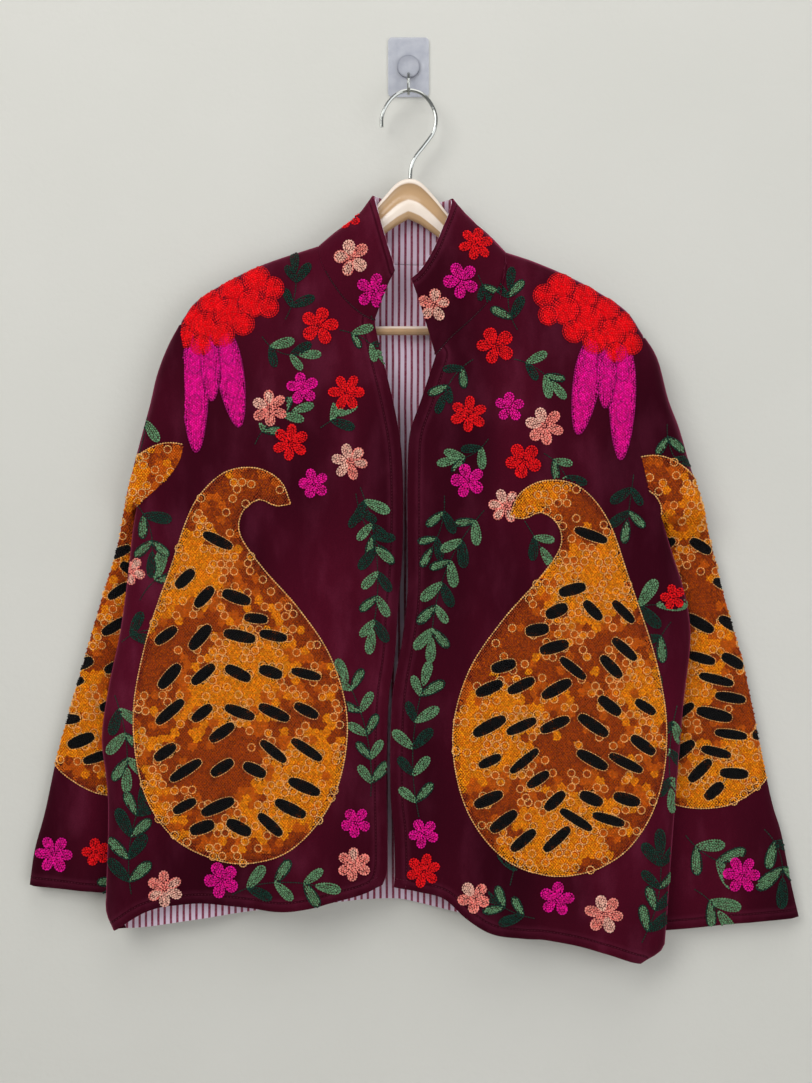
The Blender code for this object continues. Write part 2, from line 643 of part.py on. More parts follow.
def hanger_body():
    rings = [end_ring(-HANGER_END)] + [arm_ring(-x) for x in reversed(HANGER_ARM)]
    rings += HANGER_MIDDLE
    rings += [arm_ring(x) for x in HANGER_ARM] + [end_ring(HANGER_END)]
    sides = HANGER_SIDES
    points = []
    for x, top, under, half in rings:
        for k in range(sides):
            angle = 2 * math.pi * k / sides
            y = HANG_Y + half * math.cos(angle)
            z = (top + under) / 2 + (top - under) / 2 * math.sin(angle)
            points.append((x * MM, y * MM, z * MM))
    faces = [list(range(sides)), list(range(len(points) - sides, len(points)))]
    for i in range(len(rings) - 1):
        for k in range(sides):
            a, b = i * sides + k, i * sides + (k + 1) % sides
            faces.append([a, b, b + sides, a + sides])
    mesh = bpy.data.meshes.new("hanger_body")
    mesh.from_pydata(points, [], faces)
    thing = bpy.data.objects.new("hanger_body", mesh)
    bpy.context.collection.objects.link(thing)
    select_only(thing)
    bpy.ops.object.mode_set(mode="EDIT")
    bpy.ops.mesh.select_all(action="SELECT")
    bpy.ops.mesh.normals_make_consistent(inside=False)
    bpy.ops.object.mode_set(mode="OBJECT")
    finish(thing, "hanger_body", "ivory_plastic")


def rod(name, surface, points, radius, sides):
    """A round bar along x, y, z points in millimetres."""
    data = bpy.data.curves.new(name, "CURVE")
    data.dimensions = "3D"
    data.bevel_depth = radius * MM
    data.bevel_resolution = sides
    data.use_fill_caps = True
    line = data.splines.new("POLY")
    line.points.add(len(points) - 1)
    for point, (x, y, z) in zip(line.points, points):
        point.co = (x * MM, y * MM, z * MM, 1)
    thing = bpy.data.objects.new(name, data)
    bpy.context.collection.objects.link(thing)
    return finish(thing, name, surface)


def trouser_bar():
    below = CLOTH_ON_ARM + HANGER_ARM_HEIGHT + SEAM
    under_right = shoulder_height(-BAR_HALF_SPAN - BAR_RADIUS) - below
    under_left = shoulder_height(BAR_HALF_SPAN + BAR_RADIUS) - below
    turns = np.linspace(0, math.pi / 2, 6)
    corner = [(BAR_BEND * (1 - math.cos(a)), BAR_BEND * (1 - math.sin(a))) for a in turns]
    half = BAR_HALF_SPAN
    route = [(-half, HANG_Y, under_right)]
    route += [(-half + dx, HANG_Y, BAR_Z + dz) for dx, dz in corner]
    route += [(half - dx, HANG_Y, BAR_Z + dz) for dx, dz in reversed(corner)]
    route += [(half, HANG_Y, under_left)]
    rod("hanger_bar", "ivory_plastic", route, BAR_RADIUS, 3)


def hanger_hook():
    route = [(x, HANG_Y, z) for x, z in spline(HOOK_ROUTE, 48)]
    rod("hanger_hook", "chrome", route, WIRE_RADIUS, 2)


def wall_hook():
    route = [(0, y, z) for y, z in spline(WALL_HOOK_ROUTE, 24)]
    rod("wall_hook", "chrome", route, WALL_HOOK_RADIUS, 2)


def wall_pad():
    corners = []
    for sx, sz, turn in ((1, 1, 0), (-1, 1, 1), (-1, -1, 2), (1, -1, 3)):
        middle_x = sx * (PAD_WIDTH / 2 - PAD_CORNER)
        middle_z = sz * (PAD_HEIGHT / 2 - PAD_CORNER)
        for angle in np.linspace(turn, turn + 1, 5) * math.pi / 2:
            x = middle_x + PAD_CORNER * math.cos(angle)
            z = middle_z + PAD_CORNER * math.sin(angle)
            corners.append((x, z))
    shape = bmesh.new()
    face = shape.faces.new([shape.verts.new((x * MM, 0, z * MM)) for x, z in corners])
    pulled = bmesh.ops.extrude_face_region(shape, geom=[face])["geom"]
    front = [v for v in pulled if isinstance(v, bmesh.types.BMVert)]
    bmesh.ops.translate(shape, verts=front, vec=(0, -PAD_THICK * MM, 0))
    bmesh.ops.recalc_face_normals(shape, faces=shape.faces)
    mesh = bpy.data.meshes.new("wall_pad")
    shape.to_mesh(mesh)
    shape.free()
    plate = bpy.data.objects.new("wall_pad", mesh)
    bpy.context.collection.objects.link(plate)
    depth = (PAD_THICK / 2 + BOSS_THICK) * MM
    centre = (0, -PAD_THICK * MM / 2 - depth / 2, 0)
    bpy.ops.mesh.primitive_cylinder_add(
        vertices=32, radius=BOSS_RADIUS * MM, depth=depth, location=centre, rotation=(math.pi / 2, 0, 0))
    boss = bpy.context.object
    boss.name = "boss_cutter"
    boss.hide_render = True
    boss.display_type = "WIRE"
    join = plate.modifiers.new("boss", "BOOLEAN")
    join.operation = "UNION"
    join.object = boss
    finish(plate, "wall_pad", "clear_plastic", smooth=False)


clear_scene()
right_front = front_panel(
    "front_right", NECK_RIGHT, SHOULDER_RIGHT, ARMHOLE_RIGHT, SIDE_RIGHT, EDGE_RIGHT, HEM_RIGHT)
left_front = front_panel(
    "front_left", NECK_LEFT, SHOULDER_LEFT, ARMHOLE_LEFT, SIDE_LEFT, EDGE_LEFT, HEM_LEFT)
whole_back = back_panel()
sleeve("sleeve_right", -1, right_front[0], whole_back[0], SLEEVE_OUT_RIGHT, SLEEVE_IN_RIGHT, SIDE_RIGHT)
sleeve("sleeve_left", 1, left_front[0], whole_back[0], SLEEVE_OUT_LEFT, SLEEVE_IN_LEFT, SIDE_LEFT)
collar(right_front[0], left_front[0], whole_back[0])
hanger_body()
trouser_bar()
hanger_hook()
wall_hook()
wall_pad()
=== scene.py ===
"""An embroidered velvet jacket on a hanger, hanging from a stick-on wall hook.

Sizes are in millimetres and MM turns them into metres. The wall is the plane y = 0, and
everything lies in front of it, at -Y. Right and left are the wearer's.
"""

import math

import bpy
import numpy as np
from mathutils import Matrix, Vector
from mathutils.bvhtree import BVHTree
from mathutils.kdtree import KDTree


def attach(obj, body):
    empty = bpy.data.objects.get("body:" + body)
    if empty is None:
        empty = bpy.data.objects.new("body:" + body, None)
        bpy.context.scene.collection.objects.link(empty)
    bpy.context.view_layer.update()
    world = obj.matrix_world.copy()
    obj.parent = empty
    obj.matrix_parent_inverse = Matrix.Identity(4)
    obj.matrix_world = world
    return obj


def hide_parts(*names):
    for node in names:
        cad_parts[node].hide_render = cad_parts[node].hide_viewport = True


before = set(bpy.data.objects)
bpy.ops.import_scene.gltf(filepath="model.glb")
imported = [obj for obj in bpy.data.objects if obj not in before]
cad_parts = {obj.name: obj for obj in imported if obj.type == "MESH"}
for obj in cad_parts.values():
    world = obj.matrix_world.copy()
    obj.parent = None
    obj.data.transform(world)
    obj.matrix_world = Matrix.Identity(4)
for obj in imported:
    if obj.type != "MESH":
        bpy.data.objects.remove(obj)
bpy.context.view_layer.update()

MM = 0.001
bpy.ops.object.select_all(action="DESELECT")

# The camera
# A phone held level, 1.5 m in front of the jacket, a little below the middle of the picture.

CAMERA_PLACE = (-2.45, -1545.0, -463.8)
CAMERA_LENS = 70.0
CAMERA_SENSOR = 36.0

bpy.ops.object.camera_add(location=[v * MM for v in CAMERA_PLACE], rotation=(math.pi / 2, 0, 0))
camera = bpy.context.object
camera.name = "camera"
camera.data.sensor_fit = "HORIZONTAL"
camera.data.sensor_width = CAMERA_SENSOR
camera.data.lens = CAMERA_LENS
camera.data.clip_start = 0.05
bpy.context.scene.camera = camera
bpy.context.scene.view_settings.view_transform = "Standard"


# Shader maths
# Term is one socket of a material, with arithmetic on values. Paint is a material, and
# makes its nodes.

class Term:
    def __init__(self, paint, socket):
        self.paint = paint
        self.socket = socket

    def maths(self, operation, first, second=None):
        return self.paint.node("ShaderNodeMath", {"operation": operation}, {0: first, 1: second})

    def __add__(self, other):
        return self.maths("ADD", self, other)

    def __sub__(self, other):
        return self.maths("SUBTRACT", self, other)

    def __rsub__(self, other):
        return self.maths("SUBTRACT", other, self)

    def __mul__(self, other):
        return self.maths("MULTIPLY", self, other)

    def __truediv__(self, other):
        return self.maths("DIVIDE", self, other)

    __radd__ = __add__
    __rmul__ = __mul__

    def fraction(self):
        return self.maths("FRACT", self)

    def size(self):
        return self.maths("ABSOLUTE", self)

    def root(self):
        return self.maths("SQRT", self)

    def ramp(self, low, high):
        """0 below low, 1 above high and smooth between them."""
        settings = {"interpolation_type": "SMOOTHSTEP"}
        return self.paint.node("ShaderNodeMapRange", settings, {0: self, 1: low, 2: high})

    def axis(self, letter):
        return self.paint.node("ShaderNodeSeparateXYZ", {}, {0: self}, letter)


def linear(colour):
    """A colour given in sRGB, as the linear one that a shader takes."""
    return [c / 12.92 if c < 0.04 else ((c + 0.055) / 1.055) ** 2.4 for c in colour]


class Paint:
    def __init__(self, name, colour, roughness, **constants):
        self.material = bpy.data.materials.new(name)
        self.material.use_nodes = True
        self.nodes = self.material.node_tree.nodes
        self.shader = self.nodes["Principled BSDF"]
        self.place = self.node("ShaderNodeTexCoord", {}, {}, "Object")
        self.set("Base Color", (*linear(colour), 1))
        self.set("Roughness", roughness)
        for key, value in constants.items():
            self.set(key.replace("_", " "), value)

    def node(self, kind, settings, values, output=0):
        made = self.nodes.new(kind)
        for key, value in settings.items():
            setattr(made, key, value)
        for key, value in values.items():
            self.feed(made.inputs[key], value)
        return Term(self, made.outputs[output])

    def feed(self, socket, value):
        if isinstance(value, Term):
            self.material.node_tree.links.new(value.socket, socket)
        elif value is not None:
            socket.default_value = value

    def set(self, name, value):
        self.feed(self.shader.inputs[name], value)

    def noise(self, size, detail=3.0, where=None):
        """Noise from 0 to 1 whose patches are about size millimetres wide."""
        values = {"Vector": where or self.place, "Scale": 1 / (size * MM), "Detail": detail}
        return self.node("ShaderNodeTexNoise", {}, values)

    def mix(self, amount, first, second):
        """Colours mixed, each one a Term or an sRGB colour."""
        first, second = (c if isinstance(c, Term) else (*linear(c), 1) for c in (first, second))
        return self.node("ShaderNodeMix", {"data_type": "RGBA"}, {0: amount, 6: first, 7: second}, 2)

    def bump(self, height, depth, strength=1.0):
        """Relief whose height, from 0 to 1, is depth millimetres."""
        values = {"Height": height, "Distance": depth * MM, "Strength": strength}
        self.set("Normal", self.node("ShaderNodeBump", {}, values))


def coat(piece, paint):
    piece.data.materials.clear()
    piece.data.materials.append(paint.material)


def wear(piece, paint, *replaced, slot=None):
    """Gives a piece its material and its body, and hides the nodes that it stands for."""
    coat(piece, paint)
    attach(piece, "root")
    if replaced:
        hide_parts(*replaced)


# The room
# A pale painted wall just behind the jacket, a pale floor below it, and soft lights.

WALL_COLOUR = (0.82, 0.82, 0.80)
PATCHES = (0.795, 0.797, 0.772), (0.832, 0.83, 0.812)
FLOOR_COLOUR, FLOOR_LIGHTER = (0.78, 0.77, 0.75), (0.82, 0.81, 0.79)
ROOM_HALF = 4000.0
FLOOR_Z = -1500.0
WALL_Y = 1.0
LIGHTS = (
    # name, x, y, z in mm, size in mm, watts, colour
    ("window", -1300, -2300, 700, 1500, 34, (1.0, 0.99, 0.96)),
    ("fill", 1500, -2200, -700, 1700, 20, (0.97, 0.98, 1.0)),
    ("ceiling", 100, -1100, 1300, 1300, 12, (1.0, 0.98, 0.95)),
)
AIM = (0, 0, -460)
SKY_COLOUR, SKY_STRENGTH = (0.93, 0.94, 0.96, 1), 0.35

plaster = Paint("plaster", WALL_COLOUR, 0.9)
plaster.set("Base Color", plaster.mix(plaster.noise(260, 4), *PATCHES))
plaster.bump(plaster.noise(7, 5), 0.6, 0.5)
boards = Paint("boards", FLOOR_COLOUR, 0.8)
boards.set("Base Color", boards.mix(boards.noise(400, 3), FLOOR_COLOUR, FLOOR_LIGHTER))
for name, place, tilt, paint in (
    ("room_wall", (0, WALL_Y, FLOOR_Z + ROOM_HALF), math.pi / 2, plaster),
    ("room_floor", (0, WALL_Y - ROOM_HALF, FLOOR_Z), 0.0, boards),
):
    middle = Vector(place) * MM
    bpy.ops.mesh.primitive_plane_add(size=2 * ROOM_HALF * MM, location=middle, rotation=(tilt, 0, 0))
    plane = bpy.context.object
    plane.name = name
    plane.data.materials.append(paint.material)
for name, x, y, z, size, watts, colour in LIGHTS:
    place = Vector((x, y, z)) * MM
    bpy.ops.object.light_add(type="AREA", location=place)
    lamp = bpy.context.object
    lamp.name = name
    lamp.rotation_euler = (Vector(AIM) * MM - place).to_track_quat("-Z", "Y").to_euler()
    lamp.data.shape = "SQUARE"
    lamp.data.size = size * MM
    lamp.data.energy = watts
    lamp.data.color = colour
sky = bpy.data.worlds.new("sky")
sky.use_nodes = True
background = sky.node_tree.nodes["Background"]
background.inputs["Color"].default_value = SKY_COLOUR
background.inputs["Strength"].default_value = SKY_STRENGTH
bpy.context.scene.world = sky


# The wall hook and the hanger's wire
# A clear plastic pad stuck to the wall, with a round boss and a small wire hook. The
# solids have their shape already, so they stay and get their finish.

BOSS_EDGE = 10.6  # radius of the ring of painted shade at the boss's edge

clear = Paint("clear_pad", (0.80, 0.83, 0.86), 0.12, Alpha=0.45, IOR=1.45)
across, upward = clear.place.axis("X"), clear.place.axis("Z")
from_middle = (across * across + upward * upward).root()
# Painted shade: a darker, less clear ring where the boss's edge meets the pad
boss_edge_shade = 1 - (from_middle - BOSS_EDGE * MM).size().ramp(0.3 * MM, 1.1 * MM)
frosted = clear.mix(clear.noise(9, 2), (0.70, 0.72, 0.78), (0.88, 0.89, 0.93))
clear.set("Base Color", clear.mix(boss_edge_shade * 0.7, frosted, (0.42, 0.43, 0.47)))
clear.set("Alpha", boss_edge_shade * 0.4 + 0.5)
clear.bump(clear.noise(14, 1), 0.25)
steel = Paint("bright_wire", (0.62, 0.63, 0.62), 0.2, Metallic=1.0)
steel.set("Roughness", steel.noise(3, 4) * 0.16 + 0.08)
steel.bump(steel.noise(1.2, 2), 0.02)
for node, paint in (("wall_pad", clear), ("wall_hook", steel), ("hanger_hook", steel)):
    coat(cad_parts[node], paint)


# Lines and depths of the cloth
# The same cut and the same depths as the solids, on a finer grid. A panel is laid out
# flat in x and z, and body_y gives its depth, with the folds in it.

WALL = 2.0
LINING = 1.0
SEAM = 0.3
SEAM_RADIUS = 16.0
HANG_Y = -22.0
SHOULDER_HALF, CHEST_HALF = 15.0, 24.0
TUCK_SHIFT, TUCK_FRONT_HALF, TUCK_BACK_HALF = 8.0, 12.0, 9.5
TUCK_RUN, TUCK_MARGIN = 60.0, 20.0
CHEST_TOP, CHEST_RUN = -230.0, 150.0
TUCK_TOP, TUCK_DROP = -262.0, 110.0
GRID_STEP = 0.0115  # finest useful step of a grid, as a part of the panel

NECK_RIGHT = [(-33, -253), (-46, -246), (-65, -228), (-82, -201), (-87, -179)]
SHOULDER_RIGHT = [(-87, -179), (-138, -196), (-176, -214), (-205, -233), (-219, -252)]
ARMHOLE_RIGHT = [(-219, -252), (-215, -285), (-213, -323), (-214, -363), (-219, -389), (-237, -411),
                 (-261, -431)]
SIDE_RIGHT = [(-261, -431), (-265, -457), (-270, -503), (-277, -553), (-287, -600), (-294, -650),
              (-290, -690), (-288, -723), (-290, -797), (-290, -819), (-283, -837)]
EDGE_RIGHT = [(-33, -253), (-27, -280), (-20, -308), (-13, -339), (-7, -375), (-5, -421), (-6, -480),
              (-10, -526), (-13, -572), (-19, -617), (-21, -693), (-20, -753), (-21, -778), (-25, -790)]
HEM_RIGHT = [(-25, -790), (-42, -798), (-73, -807), (-99, -813), (-127, -815), (-163, -811),
             (-207, -809), (-247, -815), (-283, -837)]
NECK_LEFT = [(26, -286), (40, -270), (62, -250), (82, -228), (92, -206), (94, -185)]
SHOULDER_LEFT = [(94, -185), (121, -194), (154, -208), (184, -224), (210, -242), (226, -265)]
ARMHOLE_LEFT = [(226, -265), (221, -290), (218, -323), (218, -363), (224, -393), (232, -423),
                (244, -445)]
SIDE_LEFT = [(244, -445), (253, -475), (262, -503), (269, -535), (270, -565), (264, -616), (261, -651),
             (255, -725), (251, -779), (247, -835), (243, -855), (224, -868)]
EDGE_LEFT = [(26, -286), (12, -329), (1, -362), (-1, -405), (-1, -450), (-1, -511), (-6, -556),
             (-14, -602), (-17, -648), (-17, -708), (-14, -738), (-13, -778), (-14, -792)]
HEM_LEFT = [(-14, -792), (10, -797), (34, -804), (55, -822), (77, -835), (110, -841), (138, -844),
            (182, -854), (224, -868)]
BACK_NECK = [(-87, -179), (-60, -189), (-25, -194), (25, -195), (65, -192), (94, -185)]
BACK_HEM = [(-283, -837), (-251, -835), (-202, -828), (-154, -823), (-105, -817), (-57, -813),
            (-15, -811), (9, -815), (45, -823), (108, -838), (166, -852), (224, -868)]
SLEEVE_OUT_RIGHT = [(-219, -252), (-232, -276), (-243, -304), (-250, -332), (-264, -382), (-274, -424),
                    (-284, -475), (-295, -510), (-309, -558), (-327, -621), (-342, -675), (-353, -726),
                    (-363, -763), (-368, -797)]
SLEEVE_IN_RIGHT = [(-244, -431), (-215, -450), (-185, -475), (-163, -505), (-160, -545), (-172, -600),
                   (-200, -690), (-230, -812)]
SLEEVE_OUT_LEFT = [(226, -265), (240, -288), (251, -327), (262, -355), (273, -392), (285, -428),
                   (295, -471), (305, -512), (314, -544), (326, -587), (342, -665), (353, -717),
                   (362, -747), (371, -793), (379, -828)]
SLEEVE_IN_LEFT = [(228, -445), (200, -464), (172, -490), (155, -520), (156, -565), (168, -625),
                  (200, -730), (238, -840)]

NECK_PART = 0.38  # the neck's part of a front's top edge
ARMHOLE_PART = 0.31  # the armhole's part of a side
TOP_ROWS = (0.0, 0.006, 0.0145, 0.028, 0.05, 0.085)
SIDE_COLUMNS = (0.89, 0.946, 0.977, 0.992, 1.0)
BACK_SIDE = (0.0, 0.0045, 0.0125, 0.028, 0.06, 0.1, 0.145, 0.195, 0.25, 0.31)
BOW_FADE = 3

FOLD_COLUMNS = ("x_top", "z_top", "x_bottom", "z_bottom", "width", "height")
FOLD_START, FOLD_END = 0.35, 0.25
FOLDS_FRONT = [
    (-62, -340, -50, -800, 15, 2.5),
    (-118, -430, -112, -815, 20, 4.5),
    (-170, -500, -196, -810, 18, -3.5),
    (-232, -520, -246, -815, 15, 3.0),
    (-200, -300, -150, -420, 20, 1.8),
    (46, -350, 30, -800, 15, -2.5),
    (96, -450, 84, -838, 20, 4.5),
    (146, -500, 158, -850, 18, -3.5),
    (200, -520, 206, -860, 15, 3.0),
    (200, -310, 152, -430, 20, 1.8),
]
FOLDS_BACK = [
    (-70, -330, -80, -820, 22, 3.5),
    (0, -300, -12, -815, 26, -2.0),
    (70, -330, 64, -830, 22, 3.5),
]
# Smaller creases: by the armholes, under the collar, along the front edges and the hem
CREASES_FRONT = [
    (-209, -330, -196, -450, 6, 2.2),
    (-225, -420, -170, -500, 8, -1.8),
    (-238, -440, -236, -560, 6, 2.0),
    (-250, -600, -262, -700, 8, -1.6),
    (-60, -262, -48, -330, 7, 1.4),
    (-30, -300, -22, -370, 6, -1.2),
    (-16, -560, -32, -690, 7, 1.6),
    (-33, -640, -30, -790, 6, -1.4),
    (-80, -700, -88, -812, 9, 1.5),
    (-140, -735, -146, -812, 8, -1.6),
    (-216, -700, -222, -811, 8, 1.8),
    (-262, -740, -268, -825, 6, -1.5),
    (-130, -230, -120, -290, 9, -1.0),
    (216, -350, 206, -470, 6, 2.4),
    (228, -440, 176, -520, 8, -1.8),
    (240, -470, 238, -580, 6, 2.0),
    (246, -620, 240, -720, 8, -1.6),
    (60, -276, 50, -340, 7, 1.4),
    (20, -330, 10, -400, 6, -1.2),
    (8, -500, 2, -640, 7, 1.6),
    (-2, -620, 4, -790, 6, -1.3),
    (60, -720, 56, -825, 9, 1.6),
    (122, -740, 126, -842, 8, -1.6),
    (178, -730, 184, -854, 8, 1.8),
    (230, -740, 226, -850, 6, -1.5),
    (130, -236, 118, -300, 9, -1.0),
]
CREASES_BACK = [
    (-200, -330, -150, -440, 9, 1.4),
    (198, -340, 150, -450, 9, 1.4),
    (-130, -260, -118, -420, 12, -1.2),
    (126, -262, 120, -430, 12, 1.2),
    (-36, -210, -30, -330, 9, -1.0),
    (40, -214, 30, -360, 9, 1.0),
    (-150, -560, -156, -820, 12, 1.6),
    (-40, -600, -48, -812, 10, -1.4),
    (36, -560, 28, -818, 12, 1.5),
    (140, -600, 136, -846, 11, -1.6),
]
CREASES_SLEEVE = [
    (-236, -300, -262, -400, 7, 1.6),
    (-246, -420, -292, -520, 7, -1.8),
    (-262, -450, -318, -600, 6, 1.6),
    (-300, -560, -330, -720, 8, -1.4),
    (-290, -640, -316, -790, 8, 1.5),
    (240, -320, 266, -420, 7, 1.6),
    (250, -440, 298, -540, 7, -1.8),
    (266, -480, 322, -620, 6, 1.6),
    (302, -580, 336, -740, 8, -1.4),
    (296, -660, 326, -820, 8, 1.5),
]
# Slow ripples that keep the cloth from lying dead flat
RIPPLE_RUN = 30.0  # they fade out this near a closed seam
RIPPLES = (
    # wavelength along x and z, phase, height
    (92, 310, 0.4, 0.55),
    (61, -190, 1.9, 0.40),
    (140, 75, 3.1, 0.35),
)


def spline(points, count):
    """A smooth line through the points, with count points at even steps of its length."""
    p = np.array(points, float)
    ends = np.vstack([2 * p[0] - p[1], p, 2 * p[-1] - p[-2]])
    t = np.linspace(0, 1, 13)[:-1, None]
    parts = []
    for a, b, c, d in zip(ends, ends[1:], ends[2:], ends[3:]):
        cubic = 2 * b + (c - a) * t + (2 * a - 5 * b + 4 * c - d) * t**2
        parts.append(0.5 * (cubic + (3 * b - a - 3 * c + d) * t**3))
    return at_fractions(np.vstack(parts + [p[-1:]]), np.linspace(0, 1, count))


def at_fractions(line, fractions):
    line = np.asarray(line, float)
    steps = np.linalg.norm(np.diff(line, axis=0), axis=1)
    run = np.concatenate([[0], np.cumsum(steps)]) / steps.sum()
    return np.stack([np.interp(fractions, run, line[:, k]) for k in range(line.shape[1])], axis=1)


def two_part(first, second, fractions, split):
    """Points of two joined lines, whose shared end sits at the fraction split."""
    fractions = np.asarray(fractions)
    a = at_fractions(spline(first, 400), np.clip(fractions / split, 0, 1))
    b = at_fractions(spline(second, 400), np.clip((fractions - split) / (1 - split), 0, 1))
    return np.where((fractions <= split)[:, None], a, b)


def finer(fractions, step=GRID_STEP):
    """The same fractions with even ones between them, no further apart than step."""
    made = [np.array([fractions[0]])]
    for a, b in zip(fractions, fractions[1:]):
        count = max(1, math.ceil((b - a) / step - 1e-6))
        made.append(np.linspace(a, b, count + 1)[1:])
    return np.concatenate(made)


def distance_to(points, line):
    a, b = line[:-1], line[1:]
    along = b - a
    offset = points[..., None, :] - a
    t = np.clip((offset * along).sum(-1) / (along**2).sum(-1), 0, 1)
    return np.linalg.norm(offset - t[..., None] * along, axis=-1).min(-1)


def smoothstep(value):
    value = np.clip(value, 0, 1)
    return value * value * (3 - 2 * value)


def rounding(distance, radius):
    """From 0 at an edge to 1 at the radius, as a quarter of an ellipse."""
    return np.sqrt(1 - (1 - np.clip(distance / radius, 0, 1)) ** 2)


CLOSED_LINES = [spline(line, 60) for line in (
    SHOULDER_RIGHT, SIDE_RIGHT, SLEEVE_OUT_RIGHT, SHOULDER_LEFT, SIDE_LEFT, SLEEVE_OUT_LEFT)]


def fold_line(armhole, fold):
    line = np.array(armhole[:-1] + fold, float)
    return line[::-1, 1], np.abs(line[::-1, 0])


FOLD_LINE_RIGHT = fold_line(ARMHOLE_RIGHT, SLEEVE_IN_RIGHT)
FOLD_LINE_LEFT = fold_line(ARMHOLE_LEFT, SLEEVE_IN_LEFT)


def tuck(x, z):
    """1 where the body lies in front of a sleeve, 0 where it doesn't."""
    inner = np.where(x < 0, np.interp(z, *FOLD_LINE_RIGHT), np.interp(z, *FOLD_LINE_LEFT))
    across = smoothstep((np.abs(x) - (inner - TUCK_MARGIN - TUCK_RUN)) / TUCK_RUN)
    return across * smoothstep((TUCK_TOP - z) / TUCK_DROP)


def folds(x, z, table):
    total = np.zeros_like(x)
    for row in table:
        fold = dict(zip(FOLD_COLUMNS, row))
        t = (z - fold["z_top"]) / (fold["z_bottom"] - fold["z_top"])
        middle = fold["x_top"] + (fold["x_bottom"] - fold["x_top"]) * t
        rise = smoothstep(t / FOLD_START) * smoothstep((1 + FOLD_END - t) / FOLD_END)
        total += fold["height"] * rise * np.exp(-(((x - middle) / fold["width"]) ** 2))
    return total


def ripples(x, z):
    total = np.zeros_like(x)
    for wave_x, wave_z, phase, height in RIPPLES:
        total += height * np.sin(2 * math.pi * (x / wave_x + z / wave_z) + phase)
    return total


def body_y(x, z, face, creased=True):
    """y of the body's outer face: face -1 is the front, +1 the back."""
    tucked = tuck(x, z)
    points = np.stack([x, z], axis=-1)
    edge = np.min([distance_to(points, line) for line in CLOSED_LINES], axis=0)
    near = rounding(edge, SEAM_RADIUS)
    middle = HANG_Y - TUCK_SHIFT * tucked
    small = (ripples(x, z) if creased else 0) * smoothstep(edge / RIPPLE_RUN)
    if face < 0:
        chest = smoothstep((CHEST_TOP - z) / CHEST_RUN)
        loose = SHOULDER_HALF + (CHEST_HALF - SHOULDER_HALF) * chest
        half = loose * (1 - tucked) + TUCK_FRONT_HALF * tucked
        half = half + folds(x, z, FOLDS_FRONT + CREASES_FRONT * creased) + small
    else:
        half = SHOULDER_HALF * (1 - tucked) + TUCK_BACK_HALF * tucked
        half = half - folds(x, z, FOLDS_BACK + CREASES_BACK * creased) * (1 - 0.6 * tucked)
        half = half - small * (1 - tucked)
    return middle + face * (near * half + SEAM / 2)


def patch(top, bottom, near, far, across, down):
    """Grid between four edges, ruled from near to far, with the bows of its top and bottom."""
    u = np.asarray(across)[None, :, None]
    v = np.asarray(down)[:, None, None]
    ruled = (1 - u) * near[:, None] + u * far[:, None]
    top_bow = top[None] - ((1 - u) * top[0] + u * top[-1])
    bottom_bow = bottom[None] - ((1 - u) * bottom[0] + u * bottom[-1])
    return ruled + top_bow * (1 - v) ** BOW_FADE + bottom_bow * v**BOW_FADE


def grid_normals(grid, hollow):
    """Normals of a grid, turned away from the hollow, which lies along Y towards this sign."""
    normal = np.cross(np.gradient(grid, axis=1), np.gradient(grid, axis=0))
    normal /= np.linalg.norm(normal, axis=2, keepdims=True)
    return -normal if hollow * normal[len(grid) // 2, grid.shape[1] // 2, 1] > 0 else normal


def seam_away(edge, side):
    """Directions in the plane of the front view that lead off an armhole edge."""
    tangent = np.gradient(edge, axis=0)
    away = np.stack([tangent[:, 2], np.zeros(len(edge)), -tangent[:, 0]], axis=1)
    away *= np.where(away[:, :1] * side > 0, 1, -1)
    return away / np.linalg.norm(away, axis=1, keepdims=True)


def square_to(normals, direction):
    turned = normals - (normals * direction).sum(-1, keepdims=True) * direction
    return turned / np.linalg.norm(turned, axis=-1, keepdims=True)


def mesh_piece(name, points, faces):
    """A new smooth object at the origin, from points in millimetres."""
    mesh = bpy.data.meshes.new(name)
    mesh.from_pydata(np.asarray(points) * MM, [], faces)
    mesh.validate()
    thing = bpy.data.objects.new(name, mesh)
    bpy.context.scene.collection.objects.link(thing)
    mesh.shade_smooth()
    return thing


def clean_mesh(thing):
    """Drops loose points and turns the normals outward. The piece stays selected alone."""
    bpy.ops.object.select_all(action="DESELECT")
    thing.select_set(True)
    bpy.context.view_layer.objects.active = thing
    bpy.ops.object.mode_set(mode="EDIT")
    bpy.ops.mesh.select_all(action="SELECT")
    bpy.ops.mesh.delete_loose()
    bpy.ops.mesh.select_all(action="SELECT")
    bpy.ops.mesh.normals_make_consistent(inside=False)
    bpy.ops.object.mode_set(mode="OBJECT")


def label_points(piece, name, values):
    """A value at each point for a material to read: a number, or the four of a colour."""
    values = np.asarray(values, np.float32)
    kind, field = ("FLOAT_COLOR", "color") if values.ndim == 2 else ("FLOAT", "value")
    layer = piece.data.attributes.new(name, kind, "POINT")
    layer.data.foreach_set(field, values.ravel())


EDGE_ROUND = 0.7  # the worn edge of the cloth
EDGE_ANGLE = math.radians(50)


